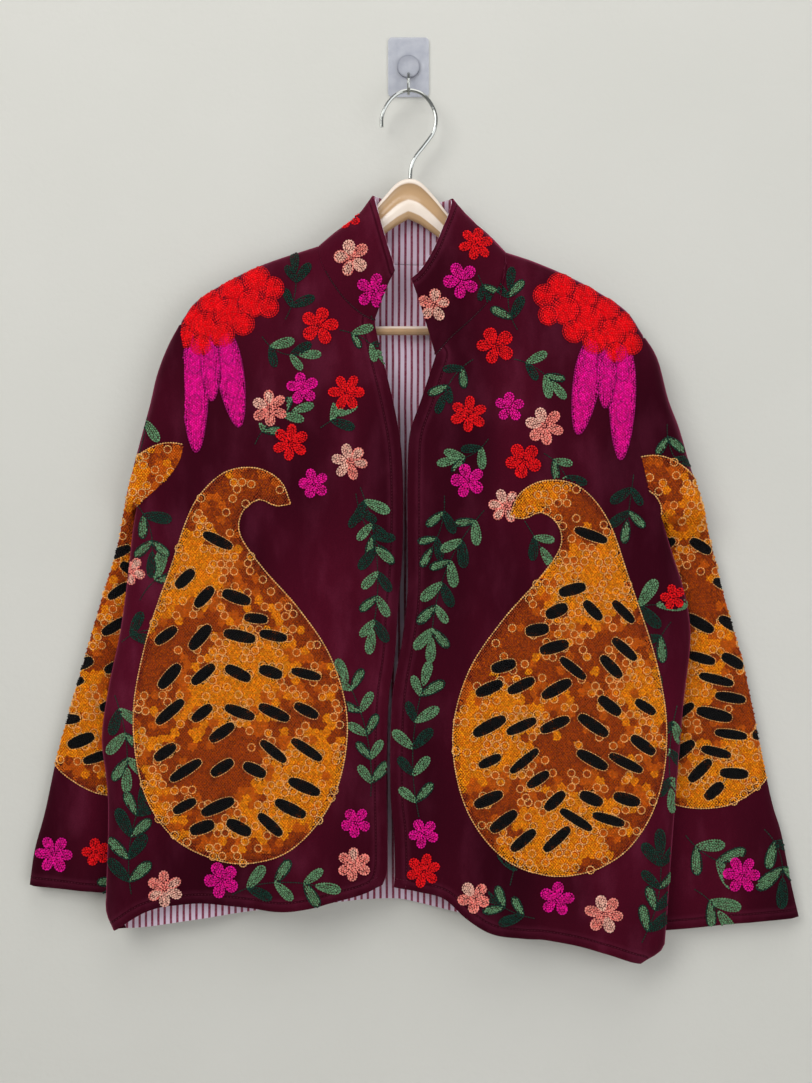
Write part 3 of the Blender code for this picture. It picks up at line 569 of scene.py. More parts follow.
def cloth_wall(name, outer, inner, mask=None):
    """A thin closed wall between two grids, over the cells that the mask keeps."""
    rows, columns = outer.shape[:2]
    if mask is None:
        mask = np.ones((rows - 1, columns - 1), bool)
    size = rows * columns
    i, j = np.nonzero(mask)
    corner = i * columns + j
    loops = np.stack([corner, corner + 1, corner + columns + 1, corner + columns], axis=1)
    faces = loops.tolist() + (loops[:, ::-1] + size).tolist()
    edges = {}
    for loop in loops.tolist():
        for a, b in zip(loop, loop[1:] + loop[:1]):
            edges[(a, b)] = (b, a)
    for (a, b), back in edges.items():
        if back not in edges:
            faces.append([b, a, size + a, size + b])
    wall = mesh_piece(name, np.concatenate([outer.reshape(-1, 3), inner.reshape(-1, 3)]), faces)
    clean_mesh(wall)
    rim = wall.modifiers.new("rim", "BEVEL")
    rim.width = EDGE_ROUND * MM
    rim.segments = 2
    rim.limit_method = "ANGLE"
    rim.angle_limit = EDGE_ANGLE
    bpy.ops.object.modifier_apply(modifier="rim")
    wall.data.shade_smooth()
    return wall


# The jacket's lining
# Woven cotton, lilac white with burgundy pinstripes. It shows in the collar, between the
# fronts and under the hem, and it is sewn to the back a hair's breadth off the velvet.

STRIPE_PITCH = 6.1
STRIPE_PART = 0.19  # half of a stripe, as a part of the pitch
THREAD_PITCH = 0.55
LINING_IN = 3  # columns and rows of the back's grid that the lining leaves free at its seams

cotton = Paint("striped_cotton", (0.78, 0.70, 0.76), 0.88, Sheen_Weight=0.25, Sheen_Roughness=0.5)
across = cotton.place.axis("X") + (cotton.noise(60, 2) - 0.5) * (1.6 * MM)
nearness = ((across / (STRIPE_PITCH * MM)).fraction() - 0.5).size()
stripe = 1 - nearness.ramp(STRIPE_PART - 0.035, STRIPE_PART + 0.035)
warp = ((across / (THREAD_PITCH * MM)).fraction() - 0.5).size()
weft = ((cotton.place.axis("Z") / (THREAD_PITCH * MM)).fraction() - 0.5).size()
plain = cotton.mix(cotton.noise(35, 4), (0.82, 0.73, 0.82), (0.93, 0.86, 0.93))
dyed = cotton.mix(cotton.noise(1.5, 2), (0.46, 0.06, 0.20), (0.58, 0.13, 0.29))
cotton.set("Base Color", cotton.mix(stripe * (0.75 + cotton.noise(2.2, 2) * 0.4), plain, dyed))
cotton.bump(warp + weft + cotton.noise(6, 3), 0.18)

middle = finer((BACK_SIDE[-1], 1 - BACK_SIDE[-1]))[1:]
across = np.concatenate([finer(BACK_SIDE), middle, 1 - finer(BACK_SIDE)[::-1][1:]])
down = np.concatenate([finer(TOP_ROWS + (ARMHOLE_PART,)), finer((ARMHOLE_PART, 1.0))[1:]])
armhole_end = int(np.argmin(np.abs(down - ARMHOLE_PART)))
left_point = 1 - BACK_SIDE[-1]
neck_start = int(np.argmin(np.abs(across - BACK_SIDE[-1])))
neck_end = int(np.argmin(np.abs(across - left_point)))
to_left = np.minimum(across / left_point, 1)
top = two_part(SHOULDER_RIGHT[::-1], BACK_NECK, to_left, BACK_SIDE[-1] / left_point)
past = np.clip((across - left_point) / (1 - left_point), 0, 1)
top = np.where((across > left_point)[:, None], at_fractions(spline(SHOULDER_LEFT, 400), past), top)
flat = patch(
    top,
    at_fractions(spline(BACK_HEM, 400), across),
    two_part(ARMHOLE_RIGHT, SIDE_RIGHT, down, ARMHOLE_PART),
    two_part(ARMHOLE_LEFT, SIDE_LEFT, down, ARMHOLE_PART),
    across,
    down,
)


def lift(flat, face):
    """The flat x, z grid, laid on the body's front or back."""
    x, z = flat[..., 0], flat[..., 1]
    return np.stack([x, body_y(x, z, face), z], axis=-1)


back_outer = lift(flat, 1)
normals = grid_normals(back_outer, -1)
for column, side in ((0, -1), (-1, 1)):
    away = seam_away(back_outer[:armhole_end + 1, column], side)
    normals[1:armhole_end, column] = square_to(normals[1:armhole_end, column], away[1:armhole_end])
    normals[armhole_end:, column, 1] = 0
normals[0, :neck_start + 1, 1] = 0
normals[0, neck_end:, 1] = 0
normals /= np.linalg.norm(normals, axis=2, keepdims=True)
keep = np.ones((len(down) - 1, len(across) - 1), bool)
keep[:, :LINING_IN] = False
keep[:, -LINING_IN:] = False
keep[:LINING_IN, :neck_start] = False
keep[:LINING_IN, neck_end:] = False
lining_face = back_outer - normals * (WALL + SEAM)
lining = cloth_wall("back_lining_cloth", lining_face, lining_face - normals * LINING, keep)
wear(lining, cotton, "back_lining", slot="striped_cotton")


# The velvet
# Burgundy cotton velvet. Its short pile catches the light where it turns away, and it is painted
# lighter in patches, partly brushed pile and partly painted highlight. Beside the rows of topstitching
# it has a painted highlight, and in their grooves painted shade. Under the embroidery the ground takes
# the thread's colour.

VELVET_DARK, VELVET_MID = (0.17, 0.0, 0.055), (0.31, 0.035, 0.125)
# the lighter pile: partly brushed pile, partly painted highlight
VELVET_BRUSHED_AND_HIGHLIGHT = (0.50, 0.19, 0.30)
TOPSTITCH_GROOVE = 1.5
HIGHLIGHT_BESIDE = 6.0  # how far a painted highlight on the pile reaches beside a row of stitches

velvet = Paint("velvet", VELVET_MID, 0.95, Sheen_Weight=0.6, Sheen_Roughness=0.34,
               Sheen_Tint=(*linear((0.86, 0.36, 0.54)), 1), Specular_IOR_Level=0.08)
hanging = velvet.node("ShaderNodeMapping", {}, {"Vector": velvet.place, "Scale": (1.0, 1.0, 0.4)})
brushed_and_highlight = velvet.noise(24, 6, hanging).ramp(0.44, 0.74)
soft = velvet.noise(150, 2, hanging).ramp(0.30, 0.72)
pile = velvet.noise(1.3, 4)
rim = velvet.node("ShaderNodeAttribute", {"attribute_name": "rim"}, {}, "Fac").size()
groove = 1 - rim.ramp(0.2, TOPSTITCH_GROOVE)
# Painted highlight: a lighter strip of pile beside each row of topstitching
beside = (1 - rim.ramp(TOPSTITCH_GROOVE, HIGHLIGHT_BESIDE)) - groove
ground = velvet.mix(soft, VELVET_DARK, VELVET_MID)
# Patches painted lighter: partly brushed pile, partly painted highlight
ground = velvet.mix(brushed_and_highlight * (soft * 0.16 + 0.10), ground, VELVET_BRUSHED_AND_HIGHLIGHT)
ground = velvet.mix(beside * 0.22 * velvet.noise(9, 3), ground, VELVET_BRUSHED_AND_HIGHLIGHT)
# The pile's grain, and painted shade in the grooves of the topstitching
ground = velvet.mix(pile.ramp(0.2, 0.8) * 0.3 + groove * 0.5, ground, VELVET_DARK)
dye = velvet.node("ShaderNodeAttribute", {"attribute_name": "ground"}, {}, "Color")
dyed_part = velvet.node("ShaderNodeAttribute", {"attribute_name": "ground"}, {}, "Alpha")
velvet.set("Base Color", velvet.mix(dyed_part, ground, dye))
velvet.bump(pile * 0.35 + velvet.noise(11, 4) * 0.8 - groove * 1.2, 0.6, 0.8)

back_inner = back_outer - normals * WALL
back = cloth_wall("back_cloth", back_outer, back_inner)
wear(back, velvet, "back", slot="velvet")


def front_panel(name, neck, shoulder, armhole, side, edge, hem, sign):
    """A front, from its edge at the middle to its side seam. Returns its outer grid."""
    flat = patch(
        two_part(neck, shoulder, front_across, NECK_PART),
        at_fractions(spline(hem, 400), front_across),
        at_fractions(spline(edge, 600), down),
        two_part(armhole, side, down, ARMHOLE_PART),
        front_across,
        down,
    )
    outer = lift(flat, -1)
    normals = grid_normals(outer, 1)
    away = seam_away(outer[:armhole_end + 1, -1], sign)
    normals[1:armhole_end, -1] = square_to(normals[1:armhole_end, -1], away[1:armhole_end])
    normals[armhole_end:, -1, 1] = 0
    normals[0, front_neck:, 1] = 0
    normals /= np.linalg.norm(normals, axis=2, keepdims=True)
    panel = cloth_wall(name + "_cloth", outer, outer - normals * WALL)
    wear(panel, velvet, name, slot="velvet")
    return panel, outer


front_across = np.concatenate([finer((0.0, NECK_PART)), finer((NECK_PART,) + SIDE_COLUMNS)[1:]])
front_neck = int(np.argmin(np.abs(front_across - NECK_PART)))
front_right, right_outer = front_panel(
    "front_right", NECK_RIGHT, SHOULDER_RIGHT, ARMHOLE_RIGHT, SIDE_RIGHT, EDGE_RIGHT, HEM_RIGHT, -1)
front_left, left_outer = front_panel(
    "front_left", NECK_LEFT, SHOULDER_LEFT, ARMHOLE_LEFT, SIDE_LEFT, EDGE_LEFT, HEM_LEFT, 1)


# The sleeves
# Each is a tube of velvet that hangs flat beside and a little behind the body. It runs
# from the armhole round the outer edge and the fold at the back to the underarm seam.

SLEEVE_EDGE_Y, SLEEVE_BACK_Y = -11.5, -4.5
SLEEVE_CLEAR, SLEEVE_GAP = 2.6, 0.05
UNDERARM_OUT, UNDERARM_IN = 5.0, 22.0
SLEEVE_ROUND = 14.0
SLEEVE_TOP, SLEEVE_RUN = -270.0, 110.0
REACH_RUN, TOP_FOLD = 60.0, 0.4
SEAM_BACK_RUN, SEAM_IN_START, SEAM_IN_RUN = 30.0, 22.0, 40.0
CUFF_DROP = 13.0
SLEEVE_RIPPLE, CREASE_RUN = 0.8, 12.0
SLEEVE_STEP = 0.05
FRONT_STEPS = finer((0.0, 0.62, 0.82, 0.95, 1.0), SLEEVE_STEP)
BACK_STEPS = finer((0.0, 0.035, 0.12, 0.9, 0.975, 1.0), SLEEVE_STEP)[1:]
RETURN_STEPS = finer((0.0, 0.03, 0.12, 0.93, 1.0), SLEEVE_STEP)[1:]
DROP_STEPS = finer((0.0, 0.0165, 0.047, 1.0), 0.012)[1:]


def sleeve_row(side, start, end, out, fold, low, reach):
    """One row of a sleeve, from its front seam to its back seam.

    low goes from 0 at the shoulder to 1 where the sleeve hangs free, and reach from 0 to 1
    as the fold moves in behind the body.
    """
    out_y = HANG_Y + (SLEEVE_EDGE_Y - HANG_Y) * low
    back_y = end[1] + (SLEEVE_BACK_Y - end[1]) * low
    fold_y = back_y + (SLEEVE_EDGE_Y - back_y) * low
    t = FRONT_STEPS
    width = abs(out[0] - start[0])
    x = start[0] + (out[0] - start[0]) * t
    z = start[2] + (out[1] - start[2]) * t
    y = out_y + (start[1] - out_y) * rounding((1 - t) * width, min(width, SLEEVE_ROUND))
    crease = folds(x, z, CREASES_SLEEVE) + SLEEVE_RIPPLE * ripples(x, z)
    fade = smoothstep(t * width / CREASE_RUN) * smoothstep((1 - t) * width / CREASE_RUN)
    y = y - crease * low * fade
    front = np.stack([x, y, z], axis=1)
    t = BACK_STEPS
    width = abs(fold[0] - out[0])
    edge_y = np.where(t < 0.5, out_y, fold_y)
    room = np.where(t < 0.5, t, 1 - t) * width
    y = edge_y + (back_y - edge_y) * rounding(room, min(width / 2, SLEEVE_ROUND))
    behind = np.stack([out[0] + (fold[0] - out[0]) * t, y, out[1] + (fold[1] - out[1]) * t], axis=1)
    t = RETURN_STEPS
    width = abs(end[0] - fold[0])
    x = fold[0] + (end[0] - fold[0]) * t
    body = body_y(x - UNDERARM_OUT * side, np.full_like(x, fold[1]), 1, creased=False) + SLEEVE_CLEAR
    flat_y = end[1] + (np.maximum(body, end[1]) - end[1]) * reach
    ease = t + (rounding(t * width, min(width, SLEEVE_ROUND)) - t) * reach
    y = np.where(t == 1.0, end[1], fold_y + (flat_y - fold_y) * ease)
    back = np.stack([x, y, fold[1] + (end[2] - fold[1]) * t], axis=1)
    return np.vstack([front, behind, back])


def sleeve(name, side, front, back, outer_line, inner_line, body_side):
    out_line = spline(outer_line, 400)[::-1]
    in_line = spline(inner_line, 400)[::-1]
    side_line = spline(body_side, 400)[::-1]
    armhole = front[:armhole_end + 1, -1]
    back_edge = back[:armhole_end + 1, 0 if side < 0 else -1]
    underarm = armhole[-1, 2]
    away = seam_away(armhole, side)
    rows = []
    for k in range(1, armhole_end + 1):
        z = armhole[k, 2]
        out_x = np.interp(z, out_line[:, 1], out_line[:, 0])
        low = smoothstep((SLEEVE_TOP - z) / SLEEVE_RUN)
        reach = smoothstep((underarm + REACH_RUN - z) / REACH_RUN)
        overlap = reach * (inner_line[0][0] - armhole[-1, 0])
        fold_x = back_edge[k, 0] + overlap + (1 - reach) * TOP_FOLD * (out_x - back_edge[k, 0])
        start, end = armhole[k] + away[k] * SLEEVE_GAP, back_edge[k] + away[k] * SLEEVE_GAP
        rows.append(sleeve_row(side, start, end, (out_x, z), (fold_x, z), low, reach))
    cuff = outer_line[-1][1]
    for step in DROP_STEPS:
        z = underarm + (cuff - underarm) * step
        out_x = np.interp(z, out_line[:, 1], out_line[:, 0])
        fold_z = z - CUFF_DROP * step**2
        fold_x = np.interp(fold_z, in_line[:, 1], in_line[:, 0])
        side_x = np.interp(z, side_line[:, 1], side_line[:, 0])
        in_step = smoothstep((underarm - z - SEAM_IN_START) / SEAM_IN_RUN)
        seam_x = side_x + side * (UNDERARM_OUT - (UNDERARM_OUT + UNDERARM_IN) * in_step)
        seam_z = z + (fold_z - z) * (seam_x - out_x) / (fold_x - out_x)
        near_y = body_y(np.array([side_x]), np.array([z]), 1, creased=False)[0] + SLEEVE_CLEAR
        seam_y = near_y + smoothstep((underarm - z) / SEAM_BACK_RUN) * TUCK_BACK_HALF
        half_gap = side * SEAM / 2
        start, end = (seam_x + half_gap, seam_y, seam_z), (seam_x - half_gap, seam_y, seam_z)
        rows.append(sleeve_row(side, start, end, (out_x, z), (fold_x, fold_z), 1.0, 1.0))
    outer = np.array(rows)
    normals = np.cross(np.gradient(outer, axis=1), np.gradient(outer, axis=0))
    normals /= np.linalg.norm(normals, axis=2, keepdims=True)
    if normals[-2, 8, 1] > 0:
        normals = -normals
    normals[:armhole_end, 0] = square_to(normals[:armhole_end, 0], away[1:])
    tube = cloth_wall(name + "_cloth", outer, outer - normals * WALL)
    wear(tube, velvet, name, slot="velvet")
    return tube


sleeve_right = sleeve(
    "sleeve_right", -1, right_outer, back_outer, SLEEVE_OUT_RIGHT, SLEEVE_IN_RIGHT, SIDE_RIGHT)
sleeve_left = sleeve(
    "sleeve_left", 1, left_outer, back_outer, SLEEVE_OUT_LEFT, SLEEVE_IN_LEFT, SIDE_LEFT)


# The collar
# A stand collar of velvet, faced with the striped cotton. It is sewn into the neck and
# leans out towards its front corners, with a few puckers where the seam draws it in.

COLLAR_TOP = [
    (-14, -56, -208), (-17, -53, -195), (-22, -49, -177), (-28, -43, -155), (-33, -35, -138),
    (-35, -26, -131), (-30, -17, -131), (-17, -12, -134), (2, -10.5, -136), (22, -12, -136),
    (37, -17, -134), (43, -26, -134), (40, -36, -147), (33, -44, -165), (24, -50, -187),
    (13, -55, -206), (3, -58, -216),
]
COLLAR_ROWS = 26
COLLAR_BULGE, COLLAR_GAP = 3.0, 0.05
PUCKERS = ((11, 0.5), (17, 0.35), (29, 0.22))  # how many round the neck, and their height
NECK_MIDDLE = np.array([3.0, -26.0, -190.0])

low = np.vstack([
    right_outer[0, :front_neck],
    (right_outer[0, front_neck] + back_outer[0, neck_start]) / 2,
    back_outer[0, neck_start + 1:neck_end],
    (left_outer[0, front_neck] + back_outer[0, neck_end]) / 2,
    left_outer[0, :front_neck][::-1],
])
run = np.concatenate([[0], np.cumsum(np.linalg.norm(np.diff(low, axis=0), axis=1))])
run /= run[-1]
high = at_fractions(spline(COLLAR_TOP, 400), run)
rise = high - low
length = np.linalg.norm(rise, axis=1, keepdims=True)
foot = low + rise / length * COLLAR_GAP
steps = np.linspace(0, 1, COLLAR_ROWS)[:, None, None]
strip = foot + (high - foot) * steps
normals = grid_normals(strip, -1)
outward = ((strip - NECK_MIDDLE)[..., :2] * normals[..., :2]).sum(-1, keepdims=True)
normals *= np.where(outward < 0, -1, 1)
pucker = sum(height * np.sin(2 * math.pi * count * run + count) for count, height in PUCKERS)
fade = np.sin(np.pi * steps)
strip = strip + normals * (COLLAR_BULGE * fade + pucker[None, :, None] * fade * (1.2 - steps))
lined = strip - normals * WALL
to_middle = NECK_MIDDLE - foot
to_middle[:, 2] = 0
lined[0] = foot + to_middle / np.linalg.norm(to_middle, axis=1, keepdims=True) * WALL
collar = cloth_wall("collar_cloth", strip, lined)
wear(collar, velvet, "collar", slot="velvet")
inward = lined - strip
inward /= np.linalg.norm(inward, axis=2, keepdims=True)
ends_off = slice(LINING_IN, -LINING_IN)
face = (lined + inward * SEAM)[:, ends_off]
under = (lined + inward * (SEAM + LINING))[:, ends_off]
for grid in (face, under):
    grid[0] += (rise / length)[ends_off] * SEAM
facing = cloth_wall("collar_lining_cloth", face, under)
wear(facing, cotton, "collar_lining", slot="striped_cotton")


# The hanger
# Moulded ivory plastic: a rim along the top, a recess painted tan, a broad white band and
# a tan bevel down to the underside. Its trouser bar is a round rod of the same plastic.

HANGER_RINGS = [
    # x, top, underside, half thickness; past these the arms follow the shoulder seams
    (-86, -186, -203, 3.0), (-72, -178, -197, 3.5), (-58, -169, -190, 4.0), (-38, -148, -179, 4.0),
    (-24, -132, -168, 4.5), (-11, -118, -159, 5.5), (0, -114, -153, 6.0), (11, -117, -158, 6.0),
    (24, -130, -167, 4.5), (40, -150, -180, 4.0), (60, -172, -194, 4.0), (76, -186, -204, 3.5),
    (92, -192.5, -209, 3.0),
]
HANGER_ARM = (110, 128, 146, 164, 178, 190)
HANGER_ARM_HEIGHT, HANGER_HALF = 20.0, 8.0
HANGER_END, END_DROP, END_HEIGHT, END_HALF = 201.0, 5.0, 8.0, 4.0
THIN_START, THIN_RUN = 40.0, 95.0
CLOTH_ON_ARM = WALL + 1.5
HANGER_SECTION = [
    # part of the height below the top, part of the half thickness, how tan
    (0.0, 0.0, 0.0), (0.015, -0.55, 0.0), (0.05, -0.92, 0.0), (0.12, -0.96, 0.0), (0.15, -0.86, 1.0),
    (0.18, -0.66, 1.0), (0.34, -0.62, 1.0), (0.50, -0.66, 1.0), (0.53, -0.88, 0.6), (0.56, -1.0, 0.0),
    (0.68, -1.0, 0.0), (0.81, -1.0, 0.0), (0.84, -0.94, 1.0), (0.92, -0.72, 1.0), (0.985, -0.45, 1.0),
    (1.0, 0.0, 1.0), (0.97, 0.6, 0.5), (0.86, 0.95, 0.0), (0.5, 1.0, 0.0), (0.14, 0.95, 0.0),
    (0.02, 0.55, 0.0),
]
RINGS_BETWEEN = 6
BAR_TAN_TOP = -260.0  # the bar is tan below this height
IVORY, TAN = (0.93, 0.86, 0.80), (0.74, 0.60, 0.44)

ivory = Paint("ivory_plastic", (0.93, 0.87, 0.80), 0.30, Coat_Weight=0.25, Coat_Roughness=0.15)
tan = ivory.node("ShaderNodeAttribute", {"attribute_name": "tan"}, {}, "Fac")
mottled = ivory.mix(ivory.noise(22, 3), (0.90, 0.83, 0.76), (0.96, 0.92, 0.88))
ivory.set("Base Color", ivory.mix(tan, mottled, TAN))
ivory.set("Roughness", ivory.noise(5, 4) * 0.18 + 0.22)
ivory.bump(ivory.noise(3, 3), 0.06)


def shoulder_height(x):
    line = spline(SHOULDER_RIGHT if x < 0 else SHOULDER_LEFT, 200)
    order = np.argsort(line[:, 0])
    return float(np.interp(x, line[order, 0], line[order, 1]))


def arm_ring(x):
    top = shoulder_height(x) - CLOTH_ON_ARM
    half = HANGER_HALF * smoothstep((abs(x) - THIN_START) / THIN_RUN)
    return (x, top, top - HANGER_ARM_HEIGHT, half)


def end_ring(x):
    top = shoulder_height(x) - CLOTH_ON_ARM - END_DROP
    return (x, top, top - END_HEIGHT, END_HALF)


rings = [end_ring(-HANGER_END)] + [arm_ring(-x) for x in reversed(HANGER_ARM)] + HANGER_RINGS
rings = np.array(rings + [arm_ring(x) for x in HANGER_ARM] + [end_ring(HANGER_END)])
smooth = spline(rings, len(rings) * RINGS_BETWEEN + 1)
x, top, half = (smooth[:, k:k + 1] for k in (0, 1, 3))
under = np.interp(x, rings[:, 0], rings[:, 2])  # the underside keeps its corner in the middle
down, out, shade = np.array(HANGER_SECTION).T
body = np.stack([x + 0 * down, HANG_Y + half * out, top - (top - under) * down], axis=-1)
sides = len(down)
ring = np.arange(sides)
beyond = np.roll(ring, -1)
start = sides * np.arange(len(smooth) - 1)[:, None]
quads = [start + ring, start + sides + ring, start + sides + beyond, start + beyond]
quads = np.stack(quads, axis=-1).reshape(-1, 4).tolist()
ends = [ring.tolist(), (sides * (len(smooth) - 1) + ring[::-1]).tolist()]
hanger = mesh_piece("hanger_moulding", body.reshape(-1, 3), quads + ends)
label_points(hanger, "tan", np.tile(shade, len(smooth)))
clean_mesh(hanger)
wear(hanger, ivory, "hanger_body", slot="ivory_plastic")
rod = Paint("tan_rod", TAN, 0.35, Coat_Weight=0.2, Coat_Roughness=0.2)
uneven = rod.place.axis("Z") + (0.5 - rod.noise(30, 2)) * (2.0 * MM)
above = uneven.ramp(BAR_TAN_TOP * MM, (BAR_TAN_TOP + 2.5) * MM)
tans = rod.mix(rod.noise(12, 3), (0.62, 0.48, 0.33), (0.74, 0.60, 0.45))
rod.set("Base Color", rod.mix(above, tans, IVORY))
coat(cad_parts["hanger_bar"], rod)


# The embroidery
# Chain stitch in thick cotton and wool thread, worked by hand in small rows that fill
# each motif. Every stitch is a low domed loop that lies on the cloth.

THREAD = {
    # each one's two shades
    "red": ((1.0, 0.04, 0.09), (0.93, 0.0, 0.06)),
    "magenta": ((1.0, 0.0, 0.68), (0.86, 0.0, 0.52)),
    "crimson": ((0.80, 0.0, 0.05), (0.88, 0.0, 0.07)),
    "plum": ((0.62, 0.0, 0.40), (0.74, 0.0, 0.50)),
    "salmon": ((1.0, 0.54, 0.50), (1.0, 0.66, 0.60)),
    "peach": ((1.0, 0.82, 0.74), (0.97, 0.72, 0.66)),
    "forest": ((0.0, 0.17, 0.13), (0.02, 0.24, 0.19)),
    "sage": ((0.36, 0.54, 0.38), (0.45, 0.63, 0.47)),
    "gold": ((1.0, 0.66, 0.0), (0.93, 0.54, 0.02)),
    "amber": ((0.86, 0.42, 0.02), (0.78, 0.36, 0.02)),
    "rust": ((0.66, 0.25, 0.01), (0.54, 0.18, 0.01)),
    "cream": ((1.0, 0.80, 0.52), (0.98, 0.70, 0.38)),
    "black": ((0.005, 0.005, 0.015), (0.02, 0.018, 0.03)),
    "wine": ((0.30, 0.04, 0.13), (0.38, 0.08, 0.19)),
    "shade": ((0.15, 0.0, 0.05), (0.20, 0.01, 0.075)),
}
SECOND = {"salmon": "peach", "red": "red", "magenta": "magenta"}
STITCH_LENGTH, STITCH_WIDTH, STITCH_HEIGHT = 3.3, 2.2, 1.0
ROW_GAP, STITCH_GAP = 1.6, 2.5
EDGE_ROOM = 0.6  # how far the filling stays inside a motif's edge
SHADE_SPREAD, SIZE_SPREAD = (0.68, 1.14), (0.9, 1.12)  # of one stitch against another
chance = np.random.default_rng(7)
CLOTHS = {
    # name: piece, the way its face looks along Y
    "front_right": (front_right, -1),
    "front_left": (front_left, -1),
    "sleeve_right": (sleeve_right, -1),
    "sleeve_left": (sleeve_left, -1),
    "collar": (collar, -1),
    "back": (back, 1),
}
sewn = {name: [] for name in CLOTHS}
grounds = {name: [] for name in CLOTHS}
taken = {name: [] for name in CLOTHS}


def turn(points, angle):
    c, s = math.cos(angle), math.sin(angle)
    return np.asarray(points, float) @ np.array([[c, s], [-s, c]])


def stitches(cloth, places, angles, thread,
             length=STITCH_LENGTH, width=STITCH_WIDTH, height=STITCH_HEIGHT):
    """Adds stitches at x, z places, each along its angle."""
    places = np.asarray(places, float)
    angles = np.broadcast_to(np.asarray(angles, float), (len(places),))
    if not len(places):
        return
    free = np.ones(len(places), bool)
    (left, bottom), (right, top) = places.min(axis=0), places.max(axis=0)
    for x0, z0, x1, z1, outline in taken[cloth]:
        if x1 < left or x0 > right or z1 < bottom or z0 > top:
            continue
        near = ((places > (x0, z0)) & (places < (x1, z1))).all(axis=1)
        if near.any():
            free[near] &= ~inside(places[near], outline)
    places, angles = places[free], angles[free]
    count = len(places)
    pair = np.array([linear(c) for c in THREAD[thread]])
    blend = chance.random(count)[:, None]
    colour = (pair[0] * blend + pair[1] * (1 - blend)) * chance.uniform(*SHADE_SPREAD, count)[:, None]
    size = (length, width, height) * chance.uniform(*SIZE_SPREAD, (count, 3))
    sewn[cloth].append(np.hstack([places, angles[:, None], size, colour]))


def keep_clear(cloth, outline):
    """Motifs that come later pass under the one with this outline."""
    outline = np.asarray(outline, float)
    taken[cloth].append((*outline.min(axis=0).tolist(), *outline.max(axis=0).tolist(), outline))


def chain(cloth, line, thread, gap=STITCH_GAP, closed=False, **sizes):
    """A row of chain stitch along a line of x, z points."""
    line = np.asarray(line, float)
    if closed:
        line = np.vstack([line, line[:1]])
    total = np.linalg.norm(np.diff(line, axis=0), axis=1).sum()
    count = max(2, int(round(total / gap)))
    along = (np.arange(count) + 0.5) / count
    step = 0.4 / count
    way = at_fractions(line, np.minimum(along + step, 1))
    way -= at_fractions(line, np.maximum(along - step, 0))
    stitches(cloth, at_fractions(line, along), np.arctan2(way[:, 1], way[:, 0]), thread, **sizes)


def inside(points, outline):
    """Which points lie inside a closed outline."""
    x, z = points[:, 0], points[:, 1]
    result = np.zeros(len(points), bool)
    for (ax, az), (bx, bz) in zip(outline, np.roll(outline, -1, axis=0)):
        crosses = (az > z) != (bz > z)
        if crosses.any() and az != bz:
            result ^= crosses & (x < ax + (z - az) * (bx - ax) / (bz - az))
    return result


def grid_in(outline, row_gap, gap, angle=0.0, jitter=0.3):
    """Points of a staggered grid inside an outline, in rows along the angle."""
    outline = np.asarray(outline, float)
    middle = outline.mean(axis=0)
    local = turn(outline - middle, -angle)
    low, high = local.min(axis=0), local.max(axis=0)
    xs, zs = np.arange(low[0], high[0] + gap, gap), np.arange(low[1], high[1] + row_gap, row_gap)
    gx, gz = np.meshgrid(xs, zs)
    gx = gx + (np.arange(len(zs)) % 2)[:, None] * gap / 2
    points = np.stack([gx.ravel(), gz.ravel()], axis=1)
    points += chance.uniform(-jitter, jitter, points.shape)
    points = points[inside(points, local)]
    if len(points):
        points = points[distance_to(points, np.vstack([local, local[:1]])) > EDGE_ROOM]
    return turn(points, angle) + middle


def filled(cloth, outline, thread, angle, edge=None, **sizes):
    """A motif filled with rows along the angle, inside a chain row along its edge."""
    outline = np.asarray(outline, float)
    stitches(cloth, grid_in(outline, ROW_GAP, STITCH_GAP, angle), angle, thread, **sizes)
    chain(cloth, outline, edge or thread, closed=True, **sizes)


def stain(cloth, outline, thread, margin):
    """Gives the cloth under a big motif the thread's colour, up to a margin from its edge."""
    outline = np.asarray(outline, float)
    grounds[cloth].append((outline, margin, linear(THREAD[thread][1])))


def oval(x, z, long, short, angle, count=18, taper=0.0, blunt=1.0):
    """An oval, narrower at its far end by the taper, and blunter at both with a blunt under 1."""
    t = np.linspace(0, 2 * math.pi, count, endpoint=False)
    wide = np.sign(np.sin(t)) * np.abs(np.sin(t)) ** blunt
    wide *= short * (1 - taper * np.cos(t))
    return turn(np.stack([long * np.cos(t), wide], axis=1), angle) + (x, z)


# Small flowers
# Five or six round petals, each filled along its length, and a knot in the middle.

